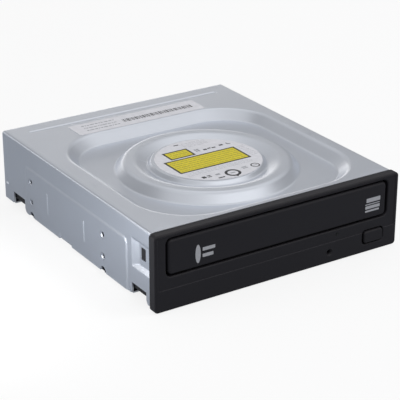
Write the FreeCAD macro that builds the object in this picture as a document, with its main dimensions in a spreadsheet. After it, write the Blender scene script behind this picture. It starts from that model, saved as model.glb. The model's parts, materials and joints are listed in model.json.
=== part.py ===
"""Internal 5.25 inch half-height disc drive, built as an assembly of its real pieces.

Millimetres. X runs across the drive (right as seen from the front), Y from the front to the
rear, Z up. All sizes are worked out from y = 0 at the front edge of the steel casing, and each
finished piece is then shifted by datum_shift, so that the origin lies under the middle of the drive.
"""
import FreeCAD, Part
import math
import os
import re
import Sketcher
from FreeCAD import Placement, Rotation, Vector

OUT_DIR = "parts"

# Driving dimensions: each becomes a cell of the sheet with this alias
SIZES = {
    "case_width": 146.0,
    "case_height": 41.3,
    "case_depth": 160.0,
    "sheet_thick": 0.8,
    "panel_raise": 0.4,
    "panel_front": 22.5,
    "panel_rear_margin": 26.0,
    "panel_top": 30.3,
    "edge_radius": 1.8,
    "soft_edge": 2.2,
    "soft_foot": 1.4,
    "skirt_bottom": 1.3,
    "recess_front": 3.5,
    "recess_rear": 128.0,
    "recess_margin": 10.0,
    "recess_shift": 1.5,
    "recess_corner": 32.0,
    "recess_depth": 5.2,
    "recess_wall_run": 5.8,
    "hub_y": 63.5,
    "seat_wall_run": 1.9,
    "label_seat_drop": 0.3,
    "valley_run": 6.6,
    "valley_drop": 2.6,
    "ring_top_width": 6.0,
    "ring_wall_run": 4.8,
    "ring_margin": 14.0,
    "bead_margin": 11.0,
    "bead_rear_margin": 11.5,
    "bead_width": 3.4,
    "bead_depth": 0.5,
    "dimple_margin": 5.5,
    "dimple_radius": 1.2,
    "dimple_depth": 0.3,
    "side_hole_front": 47.4,
    "side_hole_pitch": 79.25,
    "side_hole_low": 10.0,
    "side_hole_rise": 11.84,
    "mount_hole_radius": 1.25,
    "collar_radius": 2.1,
    "collar_reach": 1.4,
    "bottom_hole_margin": 3.15,
    "front_dent_depth": 1.2,
    "front_dent_floor": 13.2,
    "front_dent_ramp": 19.0,
    "front_dent_low": 17.5,
    "front_dent_high": 32.0,
    "rear_dent_depth": 1.0,
    "rear_dent_width": 3.6,
    "rear_dent_margin": 0.4,
    "rear_dent_low": 10.3,
    "rear_dent_high": 39.3,
    "snap_front": 7.4,
    "snap_rear": 11.4,
    "snap_low": 22.6,
    "snap_high": 29.1,
    "front_notch_from": 5.5,
    "front_notch_to": 19.0,
    "front_notch_top": 7.4,
    "rear_notch_width": 13.5,
    "rear_notch_margin": 11.0,
    "rear_notch_top": 8.3,
    "notch_slant": 2.0,
    "rib_front": 67.2,
    "rib_rear": 107.5,
    "rib_width": 1.2,
    "rib_low": 10.0,
    "rib_high": 22.0,
    "rib_raise": 0.3,
    "relief_from": 81.0,
    "relief_to": 94.5,
    "relief_top": 3.2,
    "top_wall_bottom": 27.0,
    "seam_gap": 0.3,
    "flange_top": 6.0,
    "floor_notch_reach": 10.0,
    "screw_margin": 17.0,
    "screw_front": 10.0,
    "screw_rear_margin": 9.0,
    "screw_hole_radius": 1.4,
    "screw_head_radius": 2.6,
    "screw_shank_radius": 1.3,
    "screw_length": 6.5,
    "dish_radius": 5.0,
    "dish_depth": 1.2,
    "port_left": 3.0,
    "port_right": 48.0,
    "port_bottom": 2.6,
    "port_top": 13.2,
    "bezel_overlap": 1.0,
    "bezel_bottom": 0.2,
    "bezel_thick": 5.0,
    "bezel_wall": 2.0,
    "bezel_rim": 1.6,
    "bezel_corner": 2.0,
    "bezel_bevel": 1.0,
    "bezel_side": 6.75,
    "aperture_bottom": 18.2,
    "aperture_top": 38.4,
    "aperture_corner": 3.0,
    "aperture_bevel": 0.8,
    "crease_z": 11.9,
    "crease_depth": 0.3,
    "button_width": 13.5,
    "button_margin": 8.0,
    "button_bottom": 5.0,
    "button_top": 13.0,
    "button_corner": 2.0,
    "button_gap": 0.7,
    "button_proud": 0.8,
    "button_travel": 0.8,
    "button_flange": 0.9,
    "lamp_spacing": 16.4,
    "lamp_z": 15.2,
    "lamp_radius": 0.75,
    "release_spacing": 4.8,
    "release_z": 6.3,
    "release_radius": 1.0,
    "release_cone": 1.6,
    "arm_thick": 1.5,
    "arm_length": 12.6,
    "arm_low": 20.2,
    "arm_high": 31.0,
    "hook_reach": 0.9,
    "door_gap": 1.05,
    "door_bottom": 19.0,
    "door_top": 37.5,
    "door_corner": 2.4,
    "door_thick": 3.0,
    "door_recess": 0.3,
    "door_bevel": 0.5,
    "tray_side_gap": 2.75,
    "tray_front": 0.3,
    "tray_stop_gap": 1.0,
    "tray_bottom": 22.0,
    "tray_top": 30.5,
    "tray_corner": 5.0,
    "disc_recess_radius": 60.5,
    "disc_floor": 26.0,
    "small_recess_radius": 40.5,
    "small_floor": 24.8,
    "slot_half": 24.0,
    "lip_reach": 1.8,
    "lip_low": 24.0,
    "lip_high": 26.0,
    "slide_gap": 0.3,
    "tray_travel": 130.0,
    "rack_module": 1.0,
    "rack_inset": 8.5,
    "rack_height": 3.1,
    "pressure_angle": 20.0,
    "backlash": 0.12,
    "pinion_teeth": 14,
    "wheel_module": 0.8,
    "wheel_teeth": 36,
    "small_gear_teeth": 12,
    "train_y": 19.0,
    "wheel_low": 11.0,
    "wheel_thick": 3.0,
    "pinion_low": 18.6,
    "pinion_thick": 3.0,
    "mesh_play": 0.12,
    "post_radius": 2.0,
    "shaft_gap": 0.05,
    "pulley_radius": 10.6,
    "motor_pulley_radius": 2.6,
    "pulley_low": 14.8,
    "pulley_thick": 3.4,
    "pulley_flange": 0.9,
    "belt_width": 1.2,
    "belt_gap": 0.05,
    "motor_x": 2.0,
    "motor_y": 17.0,
    "motor_radius": 10.5,
    "motor_bottom": 4.5,
    "motor_top": 13.5,
    "motor_gap": 0.1,
    "frame_side_gap": 3.3,
    "frame_wall_thick": 1.8,
    "frame_front": 13.0,
    "frame_rear_gap": 3.0,
    "frame_low": 4.0,
    "frame_top": 32.3,
    "deck_low": 8.0,
    "deck_thick": 1.5,
    "deck_front": 5.2,
    "well_half": 53.0,
    "well_inset": 11.0,
    "foot_reach": 1.9,
    "foot_top": 9.5,
    "stop_inset": 4.0,
    "stop_thick": 1.4,
    "stop_top": 28.0,
    "guide_thick": 1.2,
    "slider_left": -28.0,
    "slider_right": 34.0,
    "slider_front": 35.5,
    "slider_thick": 2.8,
    "slider_low": 6.0,
    "slider_top": 21.1,
    "slider_travel": 18.0,
    "slider_flange": 3.8,
    "slider_rail_top": 19.7,
    "slider_rail_thick": 2.7,
    "slider_rail_right": 50.0,
    "lift_pin_x": 12.0,
    "lift_pin_radius": 1.5,
    "lift_pin_z": 17.0,
    "lift_angle": 4.0,
    "slot_play": 0.35,
    "hinge_y": 140.0,
    "hinge_z": 14.0,
    "hinge_pin_radius": 1.85,
    "lift_half": 50.5,
    "lift_front": 40.6,
    "lift_rear": 143.5,
    "lift_low": 10.5,
    "lift_top": 19.5,
    "lift_rim": 4.0,
    "deck_plate_low": 13.0,
    "deck_plate_thick": 1.2,
    "deck_plate_play": 0.7,
    "deck_hole_front": 78.0,
    "deck_hole_half": 39.0,
    "damper_x": 42.5,
    "damper_front": 49.2,
    "damper_rear": 134.8,
    "damper_radius": 3.0,
    "damper_neck": 2.3,
    "damper_bore": 1.15,
    "damper_flange": 0.9,
    "rotor_radius": 12.8,
    "rotor_low": 16.0,
    "rotor_top": 24.6,
    "rotor_wall": 1.0,
    "stator_gap": 0.5,
    "spindle_radius": 1.0,
    "platter_thick": 2.6,
    "pad_inner": 9.5,
    "pad_thick": 0.4,
    "cone_radius": 7.35,
    "cone_top": 30.0,
    "rod_x": 26.5,
    "rod_z": 17.0,
    "rod_radius": 1.5,
    "rod_front": 52.0,
    "rod_ear_width": 5.6,
    "rod_ear_thick": 1.5,
    "rod_ear_top": 19.2,
    "sled_front": 79.0,
    "sled_length": 20.0,
    "sled_half": 31.0,
    "sled_low": 14.8,
    "sled_top": 20.0,
    "sled_travel": 34.0,
    "sled_play": 1.0,
    "lens_offset": 8.5,
    "lens_radius": 2.2,
    "lens_top": 26.2,
    "pickup_half": 18.0,
    "pickup_top": 23.5,
    "cover_top": 25.0,
    "feed_x": 35.0,
    "feed_z": 17.9,
    "feed_radius": 1.4,
    "feed_motor_radius": 3.5,
    "feed_motor_front": 47.0,
    "feed_motor_length": 12.0,
    "nut_front": 86.0,
    "nut_length": 5.0,
    "nut_half": 2.6,
    "bridge_front": 49.0,
    "bridge_rear": 78.0,
    "bridge_thick": 1.0,
    "bridge_lip": 1.3,
    "bridge_lip_gap": 4.5,
    "bridge_hole": 12.4,
    "bridge_screw_radius": 0.7,
    "clamper_flange_radius": 15.0,
    "clamper_flange_thick": 0.9,
    "clamper_radius": 12.0,
    "clamper_low": 28.8,
    "clamper_play": 0.1,
    "clamper_well_radius": 9.4,
    "yoke_radius": 10.3,
    "yoke_low": 30.6,
    "yoke_top": 32.8,
    "board_margin": 17.0,
    "board_front": 15.2,
    "board_rear_margin": 10.0,
    "board_low": 1.8,
    "board_thick": 1.2,
    "controller_x": -20.0,
    "controller_y": 112.0,
    "controller_width": 20.0,
    "controller_length": 20.0,
    "memory_x": 14.0,
    "memory_y": 116.0,
    "memory_width": 11.0,
    "memory_length": 8.0,
    "driver_x": 30.0,
    "driver_y": 96.0,
    "driver_width": 9.0,
    "driver_length": 13.0,
    "flash_x": -44.0,
    "flash_y": 128.0,
    "flash_width": 6.0,
    "flash_length": 8.0,
    "socket_left": 4.0,
    "socket_right": 47.0,
    "socket_length": 14.0,
    "socket_top": 12.4,
    "socket_wall": 1.4,
    "socket_depth": 7.0,
    "front_board_width": 33.0,
    "front_board_margin": 7.0,
    "front_board_y": 3.7,
    "front_board_low": 3.0,
    "front_board_top": 17.0,
    "switch_half": 3.0,
    "switch_depth": 1.8,
    "plunger_reach": 0.7,
    "lamp_depth": 2.2,
    "press_play": 0.1,
    "label_margin": 1.2,
    "label_shift": 1.0,
    "label_thick": 0.1,
    "rear_label_left": -40.0,
    "rear_label_right": 41.5,
    "rear_label_width": 15.5,
    "rear_label_margin": 15.5,
    "rear_label_corner": 1.5,
}

# Sizes worked out from those above: each is a formula in the sheet
WORKED_OUT = {
    "recess_half": "case_width / 2 - recess_margin",
    "ring_foot": "recess_half - ring_margin",
    "ring_outer": "ring_foot - ring_wall_run",
    "ring_inner": "ring_outer - ring_top_width",
    "valley_radius": "ring_inner - valley_run",
    "label_seat_radius": "valley_radius - seat_wall_run",
    "label_radius": "label_seat_radius - label_margin",
    "bead_half": "case_width / 2 - bead_margin",
    "bead_y": "case_depth - bead_rear_margin",
    "dimple_x": "case_width / 2 - dimple_margin",
    "bottom_hole_half": "case_width / 2 - bottom_hole_margin",
    "panel_rear": "case_depth - panel_rear_margin",
    "rear_dent_end": "case_depth - rear_dent_margin",
    "rear_dent_step": "rear_dent_end - rear_dent_width",
    "rear_notch_to": "case_depth - rear_notch_margin",
    "rear_notch_from": "rear_notch_to - rear_notch_width",
    "screw_x": "case_width / 2 - screw_margin",
    "screw_rear": "case_depth - screw_rear_margin",
    "bezel_width": "case_width + 2 * bezel_overlap",
    "bezel_top": "case_height - bezel_bottom",
    "aperture_half": "bezel_width / 2 - bezel_side",
    "crease_half": "bezel_width / 2 - 2 * bezel_bevel",
    "door_half": "aperture_half - door_gap",
    "button_right": "case_width / 2 - button_margin",
    "button_left": "button_right - button_width",
    "lamp_x": "button_left - lamp_spacing",
    "release_x": "lamp_x - release_spacing",
    "front_board_right": "case_width / 2 - front_board_margin",
    "front_board_left": "front_board_right - front_board_width",
    "tray_half": "aperture_half - tray_side_gap",
    "frame_wall_outer": "case_width / 2 - panel_raise - frame_side_gap",
    "frame_wall_inner": "frame_wall_outer - frame_wall_thick",
    "foot_outer": "frame_wall_outer + foot_reach",
    "frame_rear": "case_depth - frame_rear_gap",
    "stop_y": "frame_rear - stop_inset",
    "well_rear": "frame_rear - well_inset",
    "tray_length": "stop_y - tray_stop_gap - tray_front",
    "rack_line": "tray_half - rack_inset",
    "bridge_lip_half": "frame_wall_inner - bridge_lip_gap",
    "board_half": "case_width / 2 - board_margin",
    "board_rear": "case_depth - board_rear_margin",
    "socket_front": "case_depth - socket_length",
    "rear_label_rear": "case_depth - rear_label_margin",
    "rear_label_front": "rear_label_rear - rear_label_width",
}

doc = FreeCAD.newDocument("disc_drive")
sheet = doc.addObject("Spreadsheet::Sheet", "Sizes")
for row, (alias, content) in enumerate((SIZES | WORKED_OUT).items(), 1):
    sheet.set(f"A{row}", alias)
    sheet.set(f"B{row}", f"={content}")
    sheet.setAlias(f"B{row}", alias)
doc.recompute()


def linked(text):
    """The expression with each size named as a cell of the sheet."""
    def cell(word):
        return "Sizes." + word[0] if word[0] in SIZES or word[0] in WORKED_OUT else word[0]
    return re.sub(r"[a-z][a-z_]+[a-z]", cell, text)


def value(text):
    """What an expression comes to now, in millimetres."""
    return float(sheet.evalExpression(linked(text)))


def bind(item, **links):
    """Tie properties to expressions. Two underscores in a name stand for a dot."""
    for name, text in links.items():
        item.setExpression(name.replace("__", "."), linked(text))


# Places that several pieces share, worked out from the sizes
DATUM = "-(case_depth - bezel_thick - button_proud) / 2"
HALF = "case_width / 2"
SIDE = f"({HALF} - panel_raise)"
ROOF = "case_height"
WHEEL_X = "(pinion_teeth * rack_module / 2 - rack_line)"
SMALL_X = f"({WHEEL_X} + (wheel_teeth + small_gear_teeth) * wheel_module / 2 + mesh_play)"
DECK_TOP = "(deck_low + deck_thick)"
DISC_SEAT = "(rotor_top + platter_thick + pad_thick)"
BRIDGE_TOP = "(frame_top + bridge_thick)"
SLOPE = "(recess_wall_run / recess_depth)"
HOLE_REAR = "(sled_front + sled_length + sled_travel + sled_play)"


def origin_plane(body, role):
    return next(item for item in body.Origin.OriginFeatures if item.Role == role)


def new_body(name):
    return doc.addObject("PartDesign::Body", name)


def new_sketch(body, plane, height):
    """A sketch on one of the body's own planes, at a height along X, Y or Z."""
    item = body.newObject("Sketcher::SketchObject", body.Name + "_sketch")
    item.AttachmentSupport = [(origin_plane(body, plane + "_Plane"), "")]
    item.MapMode = "FlatFace"
    sign = "-" if plane == "XZ" else ""
    bind(item, AttachmentOffset__Base__z=f"{sign}({height})")
    return item


def pin_point(item, edge, point, place):
    """Fix a sketch point at two expressions."""
    for kind, text in zip(("DistanceX", "DistanceY"), place):
        index = item.addConstraint(Sketcher.Constraint(kind, edge, point, value(text)))
        bind(item, **{f"Constraints[{index}]": text})


def bind_radius(item, edge, text):
    index = item.addConstraint(Sketcher.Constraint("Radius", edge, value(text)))
    bind(item, **{f"Constraints[{index}]": text})


def polygon(*points):
    """A closed outline through points, each a pair of expressions."""
    def draw(item):
        first = item.GeometryCount
        places = [Vector(value(u), value(v), 0) for u, v in points]
        count = len(places)
        for index, place in enumerate(places):
            item.addGeometry(Part.LineSegment(place, places[(index + 1) % count]), False)
        for index in range(count):
            after = first + (index + 1) % count
            item.addConstraint(Sketcher.Constraint("Coincident", first + index, 2, after, 1))
            pin_point(item, first + index, 1, points[index])
    return draw


def rectangle(left, right, low, high):
    return polygon((left, low), (right, low), (right, high), (left, high))


def circle(u, v, radius):
    def draw(item):
        centre = Vector(value(u), value(v), 0)
        edge = item.addGeometry(Part.Circle(centre, Vector(0, 0, 1), value(radius)), False)
        pin_point(item, edge, 3, (u, v))
        bind_radius(item, edge, radius)
    return draw


def rounded(left, right, low, high, radius):
    """A rectangle with four equal round corners."""
    def draw(item):
        x0, x1, y0, y1, r = (value(text) for text in (left, right, low, high, radius))
        first = item.GeometryCount
        corners = [(x1 - r, y0 + r, -90), (x1 - r, y1 - r, 0), (x0 + r, y1 - r, 90), (x0 + r, y0 + r, 180)]
        ends = [((x0 + r, y0), (x1 - r, y0)), ((x1, y0 + r), (x1, y1 - r)),
                ((x1 - r, y1), (x0 + r, y1)), ((x0, y1 - r), (x0, y0 + r))]
        for (start, end), (cx, cy, angle) in zip(ends, corners):
            item.addGeometry(Part.LineSegment(Vector(*start, 0), Vector(*end, 0)), False)
            arc = Part.ArcOfCircle(Part.Circle(Vector(cx, cy, 0), Vector(0, 0, 1), r),
                                   math.radians(angle), math.radians(angle + 90))
            item.addGeometry(arc, False)
        for index in range(8):
            after = first + (index + 1) % 8
            item.addConstraint(Sketcher.Constraint("Tangent", first + index, 2, after, 1))
        for index, (kind, flat, text) in enumerate((("DistanceY", "Horizontal", low),
                                                    ("DistanceX", "Vertical", right),
                                                    ("DistanceY", "Horizontal", high),
                                                    ("DistanceX", "Vertical", left))):
            edge = first + 2 * index
            item.addConstraint(Sketcher.Constraint(flat, edge))
            number = item.addConstraint(Sketcher.Constraint(kind, edge, 1, value(text)))
            bind(item, **{f"Constraints[{number}]": text})
            if index:
                item.addConstraint(Sketcher.Constraint("Equal", first + 1, edge + 1))
        bind_radius(item, first + 1, radius)
    return draw


def slot(u1, v1, u2, v2, radius):
    """A round-ended slot between two centres."""
    def draw(item):
        one = Vector(value(u1), value(v1), 0)
        two = Vector(value(u2), value(v2), 0)
        r = value(radius)
        along = (two - one).normalize()
        side = Vector(-along.y, along.x, 0) * r
        angle = math.atan2(along.y, along.x)
        first = item.GeometryCount
        up = Vector(0, 0, 1)
        item.addGeometry(Part.LineSegment(one - side, two - side), False)
        item.addGeometry(Part.ArcOfCircle(Part.Circle(two, up, r), angle - math.pi / 2, angle + math.pi / 2),
                         False)
        item.addGeometry(Part.LineSegment(two + side, one + side), False)
        item.addGeometry(Part.ArcOfCircle(Part.Circle(one, up, r), angle + math.pi / 2,
                                          angle + 3 * math.pi / 2), False)
        for index in range(4):
            after = first + (index + 1) % 4
            item.addConstraint(Sketcher.Constraint("Tangent", first + index, 2, after, 1))
        pin_point(item, first + 1, 3, (u2, v2))
        pin_point(item, first + 3, 3, (u1, v1))
        bind_radius(item, first + 1, radius)
    return draw


def feature(body, kind, plane, height, outlines):
    item = new_sketch(body, plane, height)
    for outline in outlines:
        outline(item)
    result = body.newObject("PartDesign::" + kind, f"{body.Name}_{kind.lower()}")
    result.Profile = item
    return result


def pad(body, plane, low, high, *outlines, taper=None):
    """Add the outlines as a prism from low to high along the plane's normal."""
    start = high if plane == "XZ" else low
    result = feature(body, "Pad", plane, start, outlines)
    bind(result, Length=f"({high}) - ({low})")
    if taper:
        bind(result, TaperAngle=taper)
    return result


def pocket(body, plane, low, high, *outlines, taper=None):
    """Cut the outlines from low to high along the plane's normal."""
    start = low if plane == "XZ" else high
    result = feature(body, "Pocket", plane, start, outlines)
    bind(result, Length=f"({high}) - ({low})")
    if taper:
        bind(result, TaperAngle=taper)
    return result


def revolve(body, kind, u, depth, outline):
    """Turn an outline, drawn as radius and height, about the upright axis at x = u, y = depth."""
    item = new_sketch(body, "XZ", depth)
    bind(item, AttachmentOffset__Base__x=u)
    outline(item)
    result = body.newObject("PartDesign::" + kind, f"{body.Name}_{kind.lower()}")
    result.Profile = item
    result.ReferenceAxis = (item, ["V_Axis"])
    result.Angle = 360
    return result


def near(one, other):
    return abs(one - other) < 1e-4


def edges_at(item, x=None, y=None, z=None, along=None, test=None):
    """Names of the edges that lie wholly at the given coordinates, or run along an axis."""
    doc.recompute()
    names = []
    for index, edge in enumerate(item.Shape.Edges, 1):
        box = edge.BoundBox
        spans = {"X": (box.XMin, box.XMax, x), "Y": (box.YMin, box.YMax, y), "Z": (box.ZMin, box.ZMax, z)}
        if any(not (near(low, value(goal)) and near(high, value(goal)))
               for low, high, goal in spans.values() if goal is not None):
            continue
        if along and not all(near(low, high) for axis, (low, high, _) in spans.items() if axis != along):
            continue
        if test is None or test(edge):
            names.append(f"Edge{index}")
    return names


def soften(body, kind, base, names, size):
    """A Fillet or Chamfer on named edges of the last feature."""
    result = body.newObject("PartDesign::" + kind, f"{body.Name}_{kind.lower()}")
    result.Base = (base, names)
    bind(result, **{"Radius" if kind == "Fillet" else "Size": size})
    return result


def block(name, x, y, z):
    """A box between pairs of expressions."""
    item = doc.addObject("Part::Box", name)
    bind(item, Placement__Base__x=x[0], Placement__Base__y=y[0], Placement__Base__z=z[0],
         Length=f"({x[1]}) - ({x[0]})", Width=f"({y[1]}) - ({y[0]})", Height=f"({z[1]}) - ({z[0]})")
    return item


AXES = {"X": Rotation(Vector(0, 1, 0), 90), "Y": Rotation(Vector(1, 0, 0), -90), "Z": Rotation()}


def rod(name, axis, radius, place, low, high):
    """A cylinder along X, Y or Z. place gives its two other coordinates."""
    item = doc.addObject("Part::Cylinder", name)
    item.Placement.Rotation = AXES[axis]
    spots = list(place)
    spots.insert("XYZ".index(axis), low)
    bind(item, Placement__Base__x=spots[0], Placement__Base__y=spots[1], Placement__Base__z=spots[2],
         Radius=radius, Height=f"({high}) - ({low})")
    return item


def cone(name, place, low, high, low_radius, high_radius):
    item = doc.addObject("Part::Cone", name)
    bind(item, Placement__Base__x=place[0], Placement__Base__y=place[1], Placement__Base__z=low,
         Radius1=low_radius, Radius2=high_radius, Height=f"({high}) - ({low})")
    return item


def fuse(name, *items):
    result = doc.addObject("Part::MultiFuse", name)
    result.Shapes = list(items)
    result.Refine = True
    return result


def cut(name, base, *tools):
    result = doc.addObject("Part::Cut", name)
    result.Base = base
    result.Tool = tools[0] if len(tools) == 1 else fuse(name + "_tools", *tools)
    result.Refine = True
    return result


def group(name, *items):
    result = doc.addObject("Part::Compound", name)
    result.Links = list(items)
    return result


NODES = []


def finish(item, label):
    """Name a finished piece and move it to the part's own origin."""
    item.Label = label
    bind(item, Placement__Base__y=DATUM)
    NODES.append(item)
    doc.recompute()
    return item


def mirrored(x, sign):
    """A pair of expressions for one side, in rising order."""
    return (f"-({x[1]})", f"-({x[0]})") if sign < 0 else x


# Top cover: one drawn steel sheet, with side skirts, a rear wall and a deep pressed disc ring

def cover_form(name, inset, reach):
    """The drawn form as a solid. Inset by the sheet it is the cover's inside, with open ends."""
    body = new_body(name)
    side = f"({SIDE} - {inset})"
    roof = f"({ROOF} - {inset})"
    floor = f"({roof} - recess_depth)"
    base = pad(body, "XZ", f"-{reach}", f"case_depth - {inset}",
               rectangle(f"-{side}", side, f"skirt_bottom - {reach}", roof))
    bends = edges_at(base, z=roof, along="Y") + edges_at(base, y=f"case_depth - {inset}", along="X",
                                                         z=roof)
    soften(body, "Fillet", base, bends, f"edge_radius - {inset}")
    for sign in (1, -1):
        low, high = mirrored((f"{side} - sheet_thick", f"{side} + panel_raise"), sign)
        pad(body, "YZ", low, high,
            rectangle("panel_front", "panel_rear", f"skirt_bottom - {reach}", "panel_top"))

    grow = f"{inset} * (sqrt(1 + {SLOPE} ^ 2) - {SLOPE})"
    recess = pocket(body, "XY", floor, roof,
                    rounded(f"recess_shift - recess_half - {grow}", f"recess_shift + recess_half + {grow}",
                            f"recess_front - {grow}", f"recess_rear + {grow}", f"recess_corner + {grow}"),
                    taper="-atan(recess_wall_run / recess_depth)")

    def inside_rim(edge):
        box = edge.BoundBox
        return (box.YMin > value(f"recess_front - {grow} - shaft_gap")
                and box.YMax < value(f"recess_rear + {grow} + shaft_gap")
                and abs(edge.CenterOfMass.x) < value(f"recess_half + recess_shift + {grow} + shaft_gap"))
    rim = edges_at(recess, z=roof, test=inside_rim)
    convex = f"soft_edge - {inset}"
    concave = f"soft_foot + {inset}"
    rim_fillet = soften(body, "Fillet", recess, rim, convex)
    foot_line = edges_at(rim_fillet, z=floor)
    soften(body, "Fillet", rim_fillet, foot_line, concave)

    wall_slope = "((ring_foot - ring_outer) / recess_depth)"
    shrink = f"{inset} * (sqrt(1 + {wall_slope} ^ 2) - {wall_slope})"
    ring = revolve(body, "Revolution", "0", "hub_y", polygon(
        ("0", f"{floor} - soft_foot"), (f"ring_foot - {shrink}", f"{floor} - soft_foot"),
        (f"ring_foot - {shrink}", floor), (f"ring_outer - {shrink}", roof), ("ring_inner", roof),
        ("valley_radius", f"{roof} - valley_drop"), ("label_seat_radius", f"{roof} - label_seat_drop"),
        ("0", f"{roof} - label_seat_drop")))

    def ring_edge(item, radius):
        return edges_at(item, test=lambda edge: isinstance(edge.Curve, Part.Circle)
                        and near(edge.Curve.Radius, value(radius))
                        and edge.Curve.Center.z > value(f"{floor} - soft_foot / 2"))
    crest = soften(body, "Fillet", ring, ring_edge(ring, f"ring_outer - {shrink}")
                   + ring_edge(ring, "ring_inner") + ring_edge(ring, "label_seat_radius"), convex)
    soften(body, "Fillet", crest, ring_edge(crest, "valley_radius")
           + ring_edge(crest, f"ring_foot - {shrink}"), concave)

    pocket(body, "XY", f"{roof} - bead_depth", roof,
           slot("bead_width / 2 - bead_half", "bead_y", "bead_half - bead_width / 2", "bead_y",
                f"(bead_width + {inset}) / 2"), taper="-45")
    for sign in (1, -1):
        far = f"{sign} * ({side} + panel_raise)"
        face = f"{sign} * {side}"
        sunk = f"{sign} * ({side} - front_dent_depth)"
        pocket(body, "XY", f"front_dent_low - {inset}", f"front_dent_high + {inset}",
               polygon((far, f"-{reach}"), (sunk, f"-{reach}"), (sunk, "front_dent_floor"),
                       (face, "front_dent_ramp"), (far, "front_dent_ramp")))
        sunk = f"{sign} * ({side} - rear_dent_depth)"
        pocket(body, "XY", f"rear_dent_low - {inset}", f"rear_dent_high + {inset}",
               polygon((far, f"rear_dent_step - {inset}"), (sunk, f"rear_dent_step - {inset}"),
                       (face, "rear_dent_end"), (far, "rear_dent_end")))
    return body


def top_cover():
    shell = cut("cover_shell", cover_form("cover_outside", "0", "0"),
                cover_form("cover_inside", "sheet_thick", "soft_edge"))
    inner = f"({SIDE} + panel_raise - sheet_thick)"
    added, removed = [shell], []
    for sign in (1, -1):
        for row in ("side_hole_front", "side_hole_front + side_hole_pitch"):
            for level in ("side_hole_low", "side_hole_low + side_hole_rise"):
                low, high = mirrored((f"{inner} - collar_reach", inner), sign)
                added.append(rod("hole_collar", "X", "collar_radius", (row, level), low, high))
                low, high = mirrored((f"{inner} - 2 * collar_reach", f"{HALF} + collar_reach"), sign)
                removed.append(rod("side_hole", "X", "mount_hole_radius", (row, level), low, high))
            removed.append(rod("edge_relief", "X", "collar_radius + sheet_thick", (row, "skirt_bottom"),
                               *mirrored((f"{inner} - collar_reach", f"{HALF} + collar_reach"), sign)))
        for row in ("rib_front", "rib_rear"):
            proud = mirrored((f"{HALF} - sheet_thick / 2", f"{HALF} + rib_raise"), sign)
            added.append(block("side_rib", proud, (f"{row} - rib_width / 2", f"{row} + rib_width / 2"),
                               ("rib_low", "rib_high")))
        wall = mirrored((f"{SIDE} - front_dent_depth - 2 * sheet_thick", f"{HALF} + sheet_thick"), sign)
        removed.append(block("snap_window", wall, ("snap_front", "snap_rear"), ("snap_low", "snap_high")))
        removed.append(block("foot_relief", wall, ("relief_from", "relief_to"), ("0", "relief_top")))
        removed.append(cone("roof_dimple", (f"{sign} * dimple_x", "hub_y"), f"{ROOF} - dimple_depth", ROOF,
                            "dimple_radius - dimple_depth", "dimple_radius"))
    notches = new_body("side_notches")
    for first, last, top in (("front_notch_from", "front_notch_to", "front_notch_top"),
                             ("rear_notch_from", "rear_notch_to", "rear_notch_top")):
        pad(notches, "YZ", f"-{HALF} - sheet_thick", f"{HALF} + sheet_thick",
            polygon((first, top), (first, "notch_slant + skirt_bottom"), (f"{first} - notch_slant", "0"),
                    (f"{last} + notch_slant", "0"), (last, "notch_slant + skirt_bottom"), (last, top)))
    removed.append(notches)
    inside = f"{SIDE} - sheet_thick"
    removed.append(block("rear_opening", (f"-({inside})", inside),
                         ("case_depth - 2 * sheet_thick", "case_depth + sheet_thick"),
                         ("0", "top_wall_bottom")))
    finish(cut("top_cover_sheet", fuse("cover_with_collars", *added), *removed), "top_cover")


# Bottom cover: a steel tray with low flanges, extruded screw holes and dished screw seats

def bottom_cover():
    half = f"({SIDE} - sheet_thick - seam_gap)"
    inner = f"({half} - sheet_thick)"
    body = new_body("bottom_sheet")
    base = pad(body, "XZ", "0", "case_depth", polygon(
        (f"-{half}", "0"), (half, "0"), (half, "flange_top"), (inner, "flange_top"), (inner, "sheet_thick"),
        (f"-{inner}", "sheet_thick"), (f"-{inner}", "flange_top"), (f"-{half}", "flange_top")))
    soften(body, "Fillet", base, edges_at(base, z="0", along="Y"), "sheet_thick + seam_gap")
    pad(body, "XZ", "case_depth - sheet_thick", "case_depth",
        rectangle(f"-{inner}", inner, "0", "top_wall_bottom - seam_gap"))
    added, removed = [body], []
    for sign in (1, -1):
        edge = mirrored((inner, f"{half} + sheet_thick"), sign)
        corner = mirrored((f"{half} - floor_notch_reach", f"{half} + sheet_thick"), sign)
        for row in ("side_hole_front", "side_hole_front + side_hole_pitch"):
            place = (f"{sign} * bottom_hole_half", row)
            removed.append(block("collar_room", edge,
                                 (f"{row} - 2 * collar_radius", f"{row} + 2 * collar_radius"),
                                 ("sheet_thick", "flange_top + sheet_thick")))
            added.append(rod("floor_collar", "Z", "collar_radius", place, "sheet_thick / 2",
                             "sheet_thick + collar_reach"))
            removed.append(rod("floor_hole", "Z", "mount_hole_radius", place, "-sheet_thick",
                               "2 * sheet_thick + collar_reach"))
        for first, last in (("front_notch_from", "front_notch_to"), ("rear_notch_from", "rear_notch_to")):
            removed.append(block("floor_notch", corner, (f"{first} - notch_slant", f"{last} + notch_slant"),
                                 ("-sheet_thick", "flange_top + sheet_thick")))
        for row in ("screw_front", "screw_rear"):
            place = (f"{sign} * screw_x", row)
            added.append(rod("dish", "Z", "dish_radius", place, "sheet_thick / 2",
                             "sheet_thick + dish_depth"))
            removed.append(rod("dish_hollow", "Z", "dish_radius - sheet_thick", place, "-sheet_thick",
                               "dish_depth"))
            removed.append(rod("dish_hole", "Z", "screw_hole_radius", place, "0",
                               "2 * dish_depth + sheet_thick"))
    removed.append(block("port_opening", ("port_left", "port_right"),
                         ("case_depth - 2 * sheet_thick", "case_depth + sheet_thick"),
                         ("port_bottom", "port_top")))
    finish(cut("bottom_cover_sheet", fuse("bottom_with_collars", *added), *removed), "bottom_cover")


# Front bezel: a moulded black frame with the tray's aperture, button opening and two snap arms

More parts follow.
